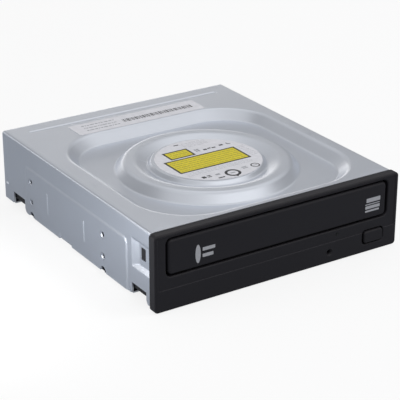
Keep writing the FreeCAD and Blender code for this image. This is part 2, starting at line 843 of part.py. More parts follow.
def front_bezel():
    half = "bezel_width / 2"
    body = new_body("bezel_moulding")
    face = "-bezel_thick"
    inside = "-(bezel_thick - bezel_wall)"
    base = pad(body, "XZ", face, "0",
               rounded(f"-{half}", half, "bezel_bottom", "bezel_top", "bezel_corner"))
    soften(body, "Fillet", base, edges_at(base, y=face), "bezel_bevel")
    rim_half = f"{half} - bezel_rim"
    collar = "aperture_half + bezel_wall / 2"
    pocket(body, "XZ", inside, "0",
           rounded(f"-({rim_half})", rim_half, "bezel_bottom + bezel_rim", "bezel_top - bezel_rim",
                   "bezel_corner / 2"),
           rounded(f"-({collar})", collar, "aperture_bottom - bezel_wall / 2",
                   "aperture_top + bezel_wall / 2", "aperture_corner + bezel_wall / 2"))
    pocket(body, "XZ", face, f"{face} + crease_depth",
           rectangle("-crease_half", "crease_half", "crease_z", "bezel_top - bezel_bevel - crease_depth"))
    opening = pocket(body, "XZ", face, "0", rounded("-aperture_half", "aperture_half", "aperture_bottom",
                                                    "aperture_top", "aperture_corner"))

    def round_aperture(edge):
        middle = edge.CenterOfMass
        return (abs(middle.x) < value("aperture_half + shaft_gap")
                and value("aperture_bottom - shaft_gap") < middle.z < value("aperture_top + shaft_gap")
                and edge.BoundBox.DiagonalLength < value("2 * aperture_half"))
    mouth = edges_at(opening, y=f"{face} + crease_depth", test=round_aperture)
    soften(body, "Chamfer", opening, mouth, "aperture_bevel")
    pocket(body, "XZ", face, inside, rounded("button_left", "button_right", "button_bottom", "button_top",
                                             "button_corner"))
    pocket(body, "XZ", face, inside, circle("lamp_x", "lamp_z", "lamp_radius"))
    hole = pocket(body, "XZ", face, inside, circle("release_x", "release_z", "release_radius"))

    def release_edge(edge):
        return isinstance(edge.Curve, Part.Circle) and near(edge.Curve.Radius, value("release_radius"))
    soften(body, "Chamfer", hole, edges_at(hole, y=face, test=release_edge), "release_cone - release_radius")
    wall = f"({SIDE} - front_dent_depth - sheet_thick - seam_gap / 3)"
    for sign in (1, -1):
        pad(body, "XZ", inside, "arm_length",
            rectangle(*mirrored((f"{wall} - arm_thick", wall), sign), "arm_low", "arm_high"))
        pad(body, "XZ", "snap_front + seam_gap", "snap_rear - seam_gap",
            rectangle(*mirrored((f"{wall} - arm_thick / 2", f"{wall} + hook_reach"), sign),
                      "snap_low + seam_gap", "snap_high - seam_gap"))
    finish(body, "front_bezel")


# Eject button, its light guide and the small board behind the bezel

def front_controls():
    body = new_body("button_cap")
    face = "-bezel_thick - button_proud"
    inside = "-(bezel_thick - bezel_wall)"
    gap = "button_gap"
    cap = pad(body, "XZ", face, f"{inside} + seam_gap / 2",
              rounded(f"button_left + {gap}", f"button_right - {gap}", f"button_bottom + {gap}",
                      f"button_top - {gap}", f"button_corner - {gap} / 2"))
    soften(body, "Fillet", cap, edges_at(cap, y=face), "button_gap / 2")
    flange = f"{inside} + seam_gap / 2"
    pad(body, "XZ", flange, f"{flange} + bezel_wall / 2",
        rectangle("button_left - button_flange", "button_right + button_flange",
                  "button_bottom - button_flange", "button_top + button_flange"))
    middle_x = "(button_left + button_right) / 2"
    middle_z = "(button_bottom + button_top) / 2"
    stem_end = "front_board_y - switch_depth - plunger_reach - button_travel - press_play"
    pad(body, "XZ", flange, stem_end, circle(middle_x, middle_z, "2 * lamp_radius"))
    finish(body, "eject_button")

    body = new_body("front_board_plate")
    board_back = "front_board_y + board_thick"
    pad(body, "XZ", "front_board_y", board_back,
        rectangle("front_board_left", "front_board_right", "front_board_low", "front_board_top"))
    finish(body, "front_board")

    switch = fuse("switch_parts",
                  block("switch_case", (f"{middle_x} - switch_half", f"{middle_x} + switch_half"),
                        ("front_board_y - switch_depth", "front_board_y"),
                        (f"{middle_z} - switch_half", f"{middle_z} + switch_half")),
                  rod("switch_plunger", "Y", "1.5 * lamp_radius", (middle_x, middle_z),
                      "front_board_y - switch_depth - plunger_reach", "front_board_y - switch_depth"))
    finish(switch, "eject_switch")
    lamp = rod("lamp_case", "Y", "2 * lamp_radius", ("lamp_x", "lamp_z"), "front_board_y - lamp_depth",
               "front_board_y")
    finish(group("lamp", lamp), "status_led")
    guide = rod("guide_stem", "Y", "lamp_radius - shaft_gap", ("lamp_x", "lamp_z"),
                "-bezel_thick + lamp_radius / 5", "front_board_y - lamp_depth - press_play")
    finish(group("guide", guide), "light_guide")


# Main frame: the black moulded chassis, with tray guides, gear posts, motor seat and hinge ears

def main_frame():
    body = new_body("frame_moulding")
    outer, inner = "frame_wall_outer", "frame_wall_inner"
    pad(body, "XY", "deck_low", DECK_TOP,
        rectangle(f"-{inner}", inner, "deck_front", "frame_rear"),
        rectangle("-well_half", "well_half", "slider_front - seam_gap", "well_rear"))
    for sign in (1, -1):
        wall = mirrored((inner, outer), sign)
        pad(body, "XY", "frame_low", "frame_top", rectangle(*wall, "frame_front", "frame_rear"))
        foot = mirrored((outer, "foot_outer"), sign)
        pad(body, "XY", "frame_low", "foot_top",
            rectangle(*foot, "frame_front", "front_notch_to + notch_slant"),
            rectangle(*foot, "rear_notch_from - notch_slant", "rear_notch_to + notch_slant"))
        toe = mirrored((inner, "foot_outer"), sign)
        pad(body, "XY", "frame_low", "foot_top", rectangle(*toe, "deck_front", "frame_front"))
        guide = mirrored(("tray_half + slide_gap", inner), sign)
        pad(body, "XZ", "frame_front", "stop_y",
            rectangle(*guide, "lip_low - slide_gap - guide_thick", "lip_low - slide_gap"),
            rectangle(*guide, "lip_high + slide_gap", "lip_high + slide_gap + guide_thick"))
        for row in ("screw_front", "screw_rear"):
            pad(body, "XY", "sheet_thick + dish_depth + press_play", "deck_low",
                circle(f"{sign} * screw_x", row, "dish_radius - sheet_thick / 2"))
        ear = mirrored(("well_half - guide_thick", "well_half + 2 * guide_thick"), sign)
        pad(body, "XY", "deck_low", "hinge_z + 2 * hinge_pin_radius",
            rectangle(*ear, "hinge_y - 2 * hinge_pin_radius", "hinge_y + 2 * hinge_pin_radius"))
    pad(body, "XY", "deck_low", "stop_top", rectangle(f"-{inner}", inner, "stop_y", "stop_y + stop_thick"))
    pad(body, "XY", "deck_low", "slider_rail_top",
        rectangle(f"{SMALL_X}", "slider_rail_right", "slider_front - seam_gap - slider_rail_thick",
                  "slider_front - seam_gap"))
    seat_top = "pulley_low - seam_gap"
    pad(body, "XY", "deck_low", seat_top,
        circle("motor_x", "motor_y", "motor_radius + motor_gap + deck_thick"))
    pocket(body, "XY", "frame_low", "motor_top + motor_gap",
           circle("motor_x", "motor_y", "motor_radius + motor_gap"))
    pocket(body, "XY", "motor_top", seat_top,
           circle("motor_x", "motor_y", "motor_pulley_radius + press_play"))
    pad(body, "XY", "deck_low", "pinion_low + pinion_thick", circle(WHEEL_X, "train_y", "post_radius"))
    pad(body, "XY", "deck_low", "pulley_low + pulley_thick", circle(SMALL_X, "train_y", "post_radius"))
    pocket(body, "YZ", f"-{outer}", outer, circle("hinge_y", "hinge_z", "hinge_pin_radius + shaft_gap"))
    port = ("port_left - seam_gap", "port_right + seam_gap")
    pocket(body, "XY", "frame_low", "socket_top + seam_gap",
           rectangle(*port, "socket_front - seam_gap", "frame_rear + stop_thick"))
    for sign in (1, -1):
        for row in ("screw_front", "screw_rear"):
            pocket(body, "XY", "sheet_thick", "screw_length + dish_depth",
                   circle(f"{sign} * screw_x", row, "screw_shank_radius"))
        pocket(body, "XY", "frame_top - screw_length", "frame_top",
               circle(f"{sign} * ({inner} + {outer}) / 2", "hub_y", "bridge_screw_radius"))
    finish(body, "main_frame")


# Clamper bridge: a steel strap over the tray that holds the spinning clamper

def clamper_bridge():
    body = new_body("bridge_strap")
    pad(body, "XY", "frame_top", BRIDGE_TOP,
        rectangle("-frame_wall_outer", "frame_wall_outer", "bridge_front", "bridge_rear"))
    pad(body, "XY", "frame_top - bridge_lip", "frame_top",
        rectangle("-bridge_lip_half", "bridge_lip_half", "bridge_front", "bridge_front + bridge_thick"),
        rectangle("-bridge_lip_half", "bridge_lip_half", "bridge_rear - bridge_thick", "bridge_rear"))
    pocket(body, "XY", "frame_top", BRIDGE_TOP, circle("0", "hub_y", "bridge_hole"))
    middle = "(frame_wall_inner + frame_wall_outer) / 2"
    for sign in (1, -1):
        pocket(body, "XY", "frame_top", BRIDGE_TOP,
               circle(f"{sign} * {middle}", "hub_y", "bridge_screw_radius + press_play"))
    finish(body, "clamper_bridge")

    screws = []
    for sign in (1, -1):
        place = (f"{sign} * {middle}", "hub_y")
        screws.append(fuse("bridge_screw", rod("shank", "Z", "bridge_screw_radius", place,
                                               "frame_top - screw_length / 2", BRIDGE_TOP),
                           rod("head", "Z", "2 * bridge_screw_radius", place, BRIDGE_TOP,
                               f"{BRIDGE_TOP} + bridge_screw_radius")))
    finish(group("bridge_screw_pair", *screws), "bridge_screws")

    body = new_body("clamper_moulding")
    flange_low = f"({BRIDGE_TOP} + clamper_play)"
    flange_top = f"({flange_low} + clamper_flange_thick)"
    revolve(body, "Revolution", "0", "hub_y", polygon(
        ("clamper_well_radius", "clamper_low"), ("clamper_radius", "clamper_low"),
        ("clamper_radius", flange_low),
        ("clamper_flange_radius", flange_low), ("clamper_flange_radius", flange_top),
        ("yoke_radius + press_play", flange_top), ("yoke_radius + press_play", "yoke_low"),
        ("clamper_well_radius", "yoke_low")))
    finish(body, "clamper_disc")
    yoke = rod("yoke_plate", "Z", "yoke_radius", ("0", "hub_y"), "yoke_low", "yoke_top")
    finish(group("yoke", yoke), "clamper_yoke")


# Disc tray: one moulding with two disc recesses, the pickup slot, side lips and a rack below

def rack_wire(module, pitch_x, start, end, back, height):
    """A straight rack's outline, teeth towards +X, with a gap centred on the gear train."""
    pitch = math.pi * module
    slope = math.tan(math.radians(value("pressure_angle")))
    half = pitch / 4 - value("backlash") / 2
    tip, root = pitch_x + module, pitch_x - 1.25 * module
    gap = value("train_y")
    first = math.ceil((start - gap) / pitch + 0.5)
    last = math.floor((end - gap) / pitch - 0.5)
    places = [(back, start), (root, start)]
    for number in range(first, last + 1):
        centre = gap + (number + 0.5) * pitch
        if centre + pitch / 2 > end:
            break
        wide = half + 1.25 * module * slope
        narrow = half - module * slope
        places += [(root, centre - wide), (tip, centre - narrow), (tip, centre + narrow),
                   (root, centre + wide)]
    places += [(root, end), (back, end)]
    points = [Vector(x, y, height) for x, y in places]
    return Part.makePolygon(points + points[:1])


def disc_tray():
    body = new_body("tray_moulding")
    left, right = "-tray_half", "tray_half"
    rear = "tray_front + tray_length"
    base = pad(body, "XY", "tray_bottom", "tray_top", rectangle(left, right, "tray_front", rear))
    corners = edges_at(base, y=rear, along="Z")
    soften(body, "Fillet", base, corners, "tray_corner")
    pocket(body, "XY", "disc_floor", "tray_top", circle("0", "hub_y", "disc_recess_radius"))
    pocket(body, "XY", "small_floor", "disc_floor", circle("0", "hub_y", "small_recess_radius"))
    slot_end = f"{rear} + slot_half"
    pocket(body, "XY", "tray_bottom", "tray_top", slot("0", "hub_y", "0", slot_end, "slot_half"))
    outer = "tray_half - tray_corner"
    for sign in (1, -1):
        pocket(body, "XY", "disc_floor", "tray_top",
               rounded(*mirrored(("slot_half + tray_corner", outer), sign),
                       "hub_y + disc_recess_radius + lip_reach", f"{rear} - tray_corner", "tray_corner / 2"))
        pad(body, "XY", "lip_low", "lip_high",
            rectangle(*mirrored(("tray_half", "tray_half + lip_reach"), sign), "frame_front - tray_corner",
                      f"{rear} - tray_corner"))
    pad(body, "XZ", "-bezel_thick + door_recess + door_thick", "tray_front",
        rectangle("-tray_half + tray_corner", "tray_half - tray_corner", "tray_bottom", "tray_top"))

    rack = doc.addObject("Part::Feature", "tray_rack")
    low = value("tray_bottom - rack_height")
    rack_end = value("train_y + tray_travel + 3 * rack_module")
    wire = rack_wire(value("rack_module"), -value("rack_line"), value("train_y - tray_corner"), rack_end,
                     -value("rack_line + rack_height"), low)
    rack.Shape = Part.Face(wire).extrude(Vector(0, 0, value("rack_height")))
    finish(fuse("tray_with_rack", body, rack), "disc_tray")

    body = new_body("door_moulding")
    face = "-bezel_thick + door_recess"
    base = pad(body, "XZ", face, f"{face} + door_thick",
               rounded("-door_half", "door_half", "door_bottom", "door_top", "door_corner"))
    soften(body, "Fillet", base, edges_at(base, y=face), "door_bevel")
    finish(body, "tray_door")


# Loading drive: motor, belt, pulley gear and tray gear, all on upright posts of the frame

def gear_face(module, teeth, height, turn, bore):
    """A spur gear's outline with involute flanks. turn is the angle of one tooth's middle."""
    pitch_r = module * teeth / 2
    angle = math.radians(value("pressure_angle"))
    base_r = pitch_r * math.cos(angle)
    tip_r, root_r = pitch_r + module, pitch_r - 1.25 * module
    half_tooth = (math.pi / 2 - value("backlash") / 2 / module) / teeth
    start_r = max(base_r, root_r)

    def spread(radius):
        """Half the tooth's angle at a radius."""
        def roll(at):
            cosine = min(1.0, base_r / at)
            return math.tan(math.acos(cosine)) - math.acos(cosine)
        return half_tooth + roll(pitch_r) - roll(radius)

    def place(radius, way):
        return Vector(radius * math.cos(way), radius * math.sin(way), height)

    middle_r = (start_r + tip_r) / 2
    edges = []
    for number in range(teeth):
        way = math.radians(turn) + 2 * math.pi * number / teeth
        after = way + 2 * math.pi / teeth
        rise = [place(radius, way - spread(radius)) for radius in (start_r, middle_r, tip_r)]
        fall = [place(radius, way + spread(radius)) for radius in (tip_r, middle_r, start_r)]
        foot = [place(root_r, way - spread(start_r)), place(root_r, way + spread(start_r)),
                place(root_r, after - spread(start_r))]
        if start_r > root_r:
            edges.append(Part.LineSegment(foot[0], rise[0]).toShape())
        edges.append(Part.Arc(*rise).toShape())
        edges.append(Part.LineSegment(rise[2], fall[0]).toShape())
        edges.append(Part.Arc(*fall).toShape())
        if start_r > root_r:
            edges.append(Part.LineSegment(fall[2], foot[1]).toShape())
        edges.append(Part.LineSegment(foot[1], foot[2]).toShape())
    disc = Part.Face(Part.Wire([Part.Circle(Vector(0, 0, height), Vector(0, 0, 1), bore).toShape()]))
    return Part.Face(Part.Wire(edges)).cut(disc)


def toothed(name, module, teeth, low, thick, turn, centre, bore):
    """A toothed disc as a feature at a place of the drive."""
    item = doc.addObject("Part::Feature", name)
    face = gear_face(module, teeth, value(low), turn, bore)
    item.Shape = face.extrude(Vector(0, 0, value(thick)))
    bind(item, Placement__Base__x=centre[0], Placement__Base__y=centre[1])
    return item


def loading_drive():
    bore = "post_radius + shaft_gap"
    bore_now = value(bore)
    centre = (WHEEL_X, "train_y")
    wheel = toothed("tray_wheel", value("wheel_module"), int(value("wheel_teeth")), "wheel_low",
                    "wheel_thick", 0, centre, bore_now)
    pinion = toothed("tray_pinion", value("rack_module"), int(value("pinion_teeth")), "pinion_low",
                     "pinion_thick", 180, centre, bore_now)
    sleeve = cut("tray_gear_sleeve",
                 rod("sleeve", "Z", "post_radius + belt_width", centre, "wheel_low + wheel_thick",
                     "pinion_low"),
                 rod("sleeve_bore", "Z", bore, centre, "wheel_low", "pinion_low + pinion_thick"))
    finish(fuse("tray_gear_moulding", wheel, pinion, sleeve), "tray_gear")

    centre = (SMALL_X, "train_y")
    half_step = 180 - 180 / value("small_gear_teeth")
    small = toothed("small_gear", value("wheel_module"), int(value("small_gear_teeth")), "wheel_low",
                    "pulley_low - wheel_low", half_step, centre, bore_now)
    belt_low = "(pulley_low + (pulley_thick - belt_width) / 2)"
    groove = "pulley_radius - belt_width / 2 - belt_gap"
    body = new_body("large_pulley")
    revolve(body, "Revolution", SMALL_X, "train_y", polygon(
        (bore, "pulley_low"), ("pulley_radius + pulley_flange", "pulley_low"),
        ("pulley_radius + pulley_flange", f"{belt_low} - pulley_flange"), (groove, f"{belt_low} - belt_gap"),
        (groove, f"{belt_low} + belt_width + belt_gap"),
        ("pulley_radius + pulley_flange", f"{belt_low} + belt_width + pulley_flange"),
        ("pulley_radius + pulley_flange", "pulley_low + pulley_thick"), (bore, "pulley_low + pulley_thick")))
    finish(fuse("pulley_gear_moulding", small, body), "pulley_gear")

    body = new_body("small_pulley")
    flange = "motor_pulley_radius + pulley_flange"
    groove = "motor_pulley_radius - belt_width / 2 - belt_gap"
    revolve(body, "Revolution", "motor_x", "motor_y", polygon(
        ("0", "motor_top + shaft_gap"), ("motor_pulley_radius / 2", "motor_top + shaft_gap"),
        ("motor_pulley_radius / 2", "pulley_low"), (flange, "pulley_low"),
        (flange, f"{belt_low} - pulley_flange"), (groove, f"{belt_low} - belt_gap"),
        (groove, f"{belt_low} + belt_width + belt_gap"),
        (flange, f"{belt_low} + belt_width + pulley_flange"),
        (flange, "pulley_low + pulley_thick"), ("0", "pulley_low + pulley_thick")))
    finish(body, "motor_pulley")

    body = new_body("motor_can")
    can = pad(body, "XY", "motor_bottom", "motor_top", circle("motor_x", "motor_y", "motor_radius"))
    soften(body, "Chamfer", can, edges_at(can, z="motor_bottom"), "belt_width")
    pad(body, "XY", "motor_bottom - pulley_flange", "motor_bottom",
        circle("motor_x", "motor_y", "motor_pulley_radius"))
    finish(body, "loading_motor")

    big = Vector(value(SMALL_X), value("train_y"), value(belt_low))
    small = Vector(value("motor_x"), value("motor_y"), value(belt_low))
    inner, outer = (Part.Face(belt_loop(big, value(f"pulley_radius {sign} belt_width / 2"), small,
                                        value(f"motor_pulley_radius {sign} belt_width / 2")))
                    for sign in ("-", "+"))
    belt = doc.addObject("Part::Feature", "belt_loop")
    belt.Shape = outer.cut(inner).extrude(Vector(0, 0, value("belt_width")))
    finish(group("belt", belt), "drive_belt")


def belt_loop(one, one_r, two, two_r):
    """The closed line of an open belt round two wheels."""
    gap = (two - one).Length
    along = (two - one).normalize()
    side = Vector(-along.y, along.x, 0)
    lean = math.asin((one_r - two_r) / gap)

    def rim(centre, radius, way):
        return centre + (along * math.sin(lean) + side * (way * math.cos(lean))) * radius
    first = [rim(one, one_r, 1), one - along * one_r, rim(one, one_r, -1)]
    second = [rim(two, two_r, -1), two + along * two_r, rim(two, two_r, 1)]
    return Part.Wire([Part.Arc(*first).toShape(), Part.LineSegment(first[2], second[0]).toShape(),
                      Part.Arc(*second).toShape(), Part.LineSegment(second[2], first[0]).toShape()])


# Cam slider: it slides across the front and lifts the traverse through two slanted slots

def cam_slider():
    body = new_body("slider_moulding")
    rear = "slider_front + slider_thick"
    pad(body, "XZ", "slider_front", rear,
        rectangle("slider_left", "slider_right", "slider_low", "slider_top"))
    pad(body, "XZ", "slider_front - slider_flange", "slider_front",
        rectangle("slider_left", "slider_right", "slider_rail_top + press_play", "slider_top"))
    drop = "(hinge_y - lift_front) * sin(lift_angle)"
    for sign in (1, -1):
        pin = f"({sign} * lift_pin_x)"
        pocket(body, "XZ", "slider_front", rear,
               slot(pin, "lift_pin_z", f"{pin} + slider_travel", f"lift_pin_z - {drop}",
                    "lift_pin_radius + slot_play"))
    finish(body, "cam_slider")


# Traverse: the lift frame swings on two pins and carries the sprung deck with motor and rods

def traverse():
    body = new_body("lift_moulding")
    inner = "lift_half - lift_rim"
    pad(body, "XY", "lift_low", "lift_top", rectangle("-lift_half", "lift_half", "lift_front", "lift_rear"),
        rectangle(f"-({inner})", inner, "lift_front + lift_rim", "lift_rear - lift_rim"))
    for sign in (1, -1):
        pad(body, "XZ", "slider_front - shaft_gap", "lift_front",
            circle(f"{sign} * lift_pin_x", "lift_pin_z", "lift_pin_radius"))
        pin = mirrored(("lift_half", "well_half + 2 * guide_thick"), sign)
        pad(body, "YZ", *pin, circle("hinge_y", "hinge_z", "hinge_pin_radius"))
        for row in ("damper_front", "damper_rear"):
            pad(body, "XY", "lift_low", "deck_plate_low - damper_flange",
                rectangle(*mirrored(("damper_x - damper_radius", inner), sign),
                          f"{row} - lift_rim", f"{row} + lift_rim"))
            pocket(body, "XY", "lift_low", "deck_plate_low",
                   circle(f"{sign} * damper_x", row, "damper_bore - shaft_gap"))
    finish(body, "lift_frame")

    body = new_body("deck_plate")
    edge = f"({inner} - deck_plate_play)"
    low, high = "deck_plate_low", "(deck_plate_low + deck_plate_thick)"
    pad(body, "XY", low, high,
        rectangle(f"-{edge}", edge, "lift_front + lift_rim + deck_plate_play",
                  "lift_rear - lift_rim - deck_plate_play"),
        rectangle("-deck_hole_half", "deck_hole_half", "deck_hole_front", HOLE_REAR))
    ear = "rod_ear_width / 2"
    ear_rear = f"{HOLE_REAR} + rod_ear_thick"
    for sign in (1, -1):
        x = f"({sign} * rod_x)"
        for first in ("rod_front", HOLE_REAR):
            pad(body, "XZ", first, f"{first} + rod_ear_thick",
                rectangle(f"{x} - {ear}", f"{x} + {ear}", high, "rod_ear_top"))
        for row in ("damper_front", "damper_rear"):
            pocket(body, "XY", low, high, circle(f"{sign} * damper_x", row, "damper_neck"))
    pad(body, "XZ", HOLE_REAR, ear_rear,
        rectangle(f"-feed_x - {ear}", f"-feed_x + {ear}", high, "rod_ear_top + feed_radius"))
    pocket(body, "XZ", "rod_front", ear_rear,
           circle("rod_x", "rod_z", "rod_radius"), circle("-rod_x", "rod_z", "rod_radius"))
    pocket(body, "XZ", HOLE_REAR, ear_rear,
           circle("-feed_x", "feed_z", "feed_radius + shaft_gap"))
    finish(body, "traverse_deck")

    for sign, label in ((-1, "main_guide_rod"), (1, "sub_guide_rod")):
        guide = rod("guide_rod", "Y", "rod_radius", (f"{sign} * rod_x", "rod_z"), "rod_front",
                    ear_rear)
        finish(group(label + "_piece", guide), label)

    dampers, screws = [], []
    corners = [(sign, row) for sign in (1, -1) for row in ("damper_front", "damper_rear")]
    for number, (sign, row) in enumerate(corners):
        body = new_body(f"damper_{number}")
        revolve(body, "Revolution", f"{sign} * damper_x", row, polygon(
            ("damper_bore", f"{low} - damper_flange"), ("damper_radius", f"{low} - damper_flange"),
            ("damper_radius", low), ("damper_neck", low), ("damper_neck", high), ("damper_radius", high),
            ("damper_radius", f"{high} + damper_flange"), ("damper_bore", f"{high} + damper_flange")))
        dampers.append(body)
        place = (f"{sign} * damper_x", row)
        top = f"{high} + damper_flange"
        screws.append(fuse("damper_screw", rod("screw_shank", "Z", "damper_bore - shaft_gap", place,
                                               "lift_low", top),
                           rod("screw_head", "Z", "damper_neck", place, top, f"{top} + damper_flange")))
    finish(group("damper_set", *dampers), "dampers")
    finish(group("damper_screw_set", *screws), "damper_screws")


# Spindle: a stator on the deck, and the rotor, turntable, rubber pad and centring cone that spin

def spindle():
    base = "(deck_plate_low + deck_plate_thick)"
    stator_radius = "rotor_radius - rotor_wall - stator_gap"
    body = new_body("stator")
    revolve(body, "Revolution", "0", "hub_y", polygon(
        ("spindle_radius + shaft_gap", base), ("rotor_radius + rotor_wall", base),
        ("rotor_radius + rotor_wall", "rotor_low - seam_gap"), (stator_radius, "rotor_low - seam_gap"),
        (stator_radius, "rotor_top - 2 * rotor_wall - stator_gap"),
        ("spindle_radius + shaft_gap", "rotor_top - 2 * rotor_wall - stator_gap")))
    finish(body, "spindle_base")

    body = new_body("rotor")
    revolve(body, "Revolution", "0", "hub_y", polygon(
        ("0", f"{base} + shaft_gap"), ("spindle_radius", f"{base} + shaft_gap"),
        ("spindle_radius", "rotor_top - rotor_wall"),
        ("rotor_radius - rotor_wall", "rotor_top - rotor_wall"), ("rotor_radius - rotor_wall", "rotor_low"),
        ("rotor_radius", "rotor_low"), ("rotor_radius", "rotor_top"), ("0", "rotor_top")))
    finish(body, "spindle_rotor")

    seat = "(rotor_top + platter_thick)"
    body = new_body("platter")
    revolve(body, "Revolution", "0", "hub_y", polygon(
        ("0", "rotor_top"), ("rotor_radius", "rotor_top"), ("rotor_radius", seat), ("cone_radius", seat),
        ("cone_radius", f"{DISC_SEAT} + pad_thick"), ("cone_radius - pad_thick", "cone_top - 2 * pad_thick"),
        ("cone_radius - 4 * pad_thick", "cone_top"), ("0", "cone_top")))
    finish(body, "turntable_hub")

    body = new_body("friction_ring")
    pad(body, "XY", seat, DISC_SEAT, circle("0", "hub_y", "rotor_radius - pad_thick"),
        circle("0", "hub_y", "pad_inner"))
    finish(body, "turntable_pad")


# Pickup sled on its two rods, with the lens, the feed screw, its nut and its motor

def pickup_sled():
    rear = "sled_front + sled_length"
    body = new_body("sled_casting")
    pad(body, "XY", "sled_low", "sled_top", rectangle("-sled_half", "sled_half", "sled_front", rear))
    pad(body, "XY", "sled_top", "pickup_top",
        rectangle("-pickup_half", "pickup_half", "sled_front", rear))
    pocket(body, "XZ", "sled_front", rear, circle("-rod_x", "rod_z", "rod_radius + shaft_gap"))
    pocket(body, "XZ", "sled_front", rear,
           rectangle("rod_x - rod_radius - shaft_gap", "sled_half", "rod_z - rod_radius - shaft_gap",
                     "rod_z + rod_radius + shaft_gap"))
    finish(body, "pickup_base")

    lens_y = "(sled_front + lens_offset)"
    body = new_body("actuator_lid")
    lid = pad(body, "XY", "pickup_top", "cover_top",
              rectangle("-pickup_half + sheet_thick", "pickup_half - sheet_thick",
                        "sled_front + sheet_thick", f"{rear} - sheet_thick"),
              circle("0", lens_y, "lens_radius + 2 * seam_gap"))
    soften(body, "Chamfer", lid, edges_at(lid, z="cover_top", along="X"), "pad_thick")
    finish(body, "actuator_cover")

    body = new_body("lens_barrel")
    revolve(body, "Revolution", "0", lens_y, polygon(
        ("0", "pickup_top"), ("lens_radius", "pickup_top"), ("lens_radius", "cover_top + pad_thick"),
        ("lens_radius - pad_thick", "cover_top + pad_thick"),
        ("lens_radius / 2", "lens_top - pad_thick / 2"), ("0", "lens_top")))
    finish(body, "objective_lens")

    nut = cut("nut_block",
              block("nut_body", ("-feed_x - nut_half", "-sled_half"),
                    ("nut_front", "nut_front + nut_length"),
                    ("feed_z - nut_half", "feed_z + nut_half")),
              rod("nut_bore", "Y", "feed_radius + shaft_gap", ("-feed_x", "feed_z"), "nut_front - nut_half",
                  "nut_front + nut_length + nut_half"))
    finish(nut, "lead_nut")

    motor_end = "feed_motor_front + feed_motor_length"
    screw = rod("feed_spindle", "Y", "feed_radius", ("-feed_x", "feed_z"), f"{motor_end} + shaft_gap",
                f"{HOLE_REAR} + rod_ear_thick")
    finish(group("feed_screw", screw), "lead_screw")
    motor = rod("feed_motor_can", "Y", "feed_motor_radius", ("-feed_x", "feed_z"), "feed_motor_front",
                motor_end)
    saddle = block("feed_motor_foot", ("-feed_x - feed_radius", "-feed_x + feed_radius"),
                   ("feed_motor_front", motor_end), ("deck_plate_low + deck_plate_thick", "feed_z"))
    finish(fuse("feed_motor", motor, saddle), "sled_motor")


# Electronics: the main board with its packages, and the rear data and power socket

def electronics():
    body = new_body("board_plate")
    top = "(board_low + board_thick)"
    pad(body, "XY", "board_low", top, rectangle("-board_half", "board_half", "board_front", "board_rear"))
    for sign in (1, -1):
        pocket(body, "XY", "board_low", top,
               circle(f"{sign} * screw_x", "screw_rear", "dish_radius + seam_gap"))
    finish(body, "main_board")

    chips = []
    for name in ("controller", "memory", "driver", "flash"):
        chips.append(block(name, (f"{name}_x", f"{name}_x + {name}_width"),
                           (f"{name}_y", f"{name}_y + {name}_length"), (top, f"{top} + board_thick")))
    finish(group("package_set", *chips), "main_chips")

    body = new_body("socket_shell")
    left, right, back = "socket_left", "socket_right", "case_depth"
    pad(body, "XZ", "socket_front", back, rectangle(left, right, top, "socket_top"))
    split = "(socket_left + 2 * socket_right) / 3"
    floor, roof = f"({top} + socket_wall)", "socket_top - socket_wall"
    mouth = f"{back} - socket_depth"
    tongue = f"({floor} + {roof}) / 2"
    for first, last in ((f"{left} + socket_wall", f"{split} - socket_wall / 2"),
                        (f"{split} + socket_wall / 2", f"{right} - socket_wall")):
        pocket(body, "XZ", mouth, back, rectangle(first, last, floor, roof))
        pad(body, "XZ", f"{mouth} - socket_wall", f"{back} - socket_wall",
            rectangle(f"{first} + socket_wall", f"{last} - socket_wall", f"{tongue} - socket_wall / 2",
                      f"{tongue} + socket_wall / 2"))
    finish(body, "sata_connector")


# Fasteners and labels

def fasteners_and_labels():
    screws = []
    for sign in (1, -1):
        for row in ("screw_front", "screw_rear"):
            place = (f"{sign} * screw_x", row)
            screws.append(fuse("cover_screw", rod("shank", "Z", "screw_shank_radius", place,
                                                  "dish_depth - shaft_gap", "screw_length"),
                               rod("head", "Z", "screw_head_radius", place, "pad_thick / 2", "dish_depth")))
    finish(group("cover_screw_set", *screws), "cover_screws")
    seat = f"{ROOF} - label_seat_drop"
    label = rod("label_disc", "Z", "label_radius", ("label_shift", "hub_y"), seat, f"{seat} + label_thick")
    finish(group("round_label", label), "top_label")
    body = new_body("strip_label")
    pad(body, "XY", ROOF, f"{ROOF} + label_thick",
        rounded("rear_label_left", "rear_label_right", "rear_label_front", "rear_label_rear",
                "rear_label_corner"))
    finish(body, "rear_label")


def check_and_write():
    """Stop at a failed feature or a bad solid, then write one STEP file for each piece."""
    doc.recompute()
    for item in doc.Objects:
        if "Invalid" in item.State or "Error" in item.State:
            raise RuntimeError(f"{item.Name} failed: {item.State}")
    os.makedirs(OUT_DIR, exist_ok=True)
    for item in NODES:
        if item.Shape.isNull() or not item.Shape.isValid() or not item.Shape.Solids:
            raise RuntimeError(f"{item.Label} is not a valid solid")
        item.Shape.exportStep(os.path.join(OUT_DIR, item.Label + ".step"))


for make in (top_cover, bottom_cover, front_bezel, front_controls, main_frame, clamper_bridge, disc_tray,
             loading_drive, cam_slider, traverse, spindle, pickup_sled, electronics, fasteners_and_labels):
    make()
check_and_write()
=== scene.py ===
import json
import math

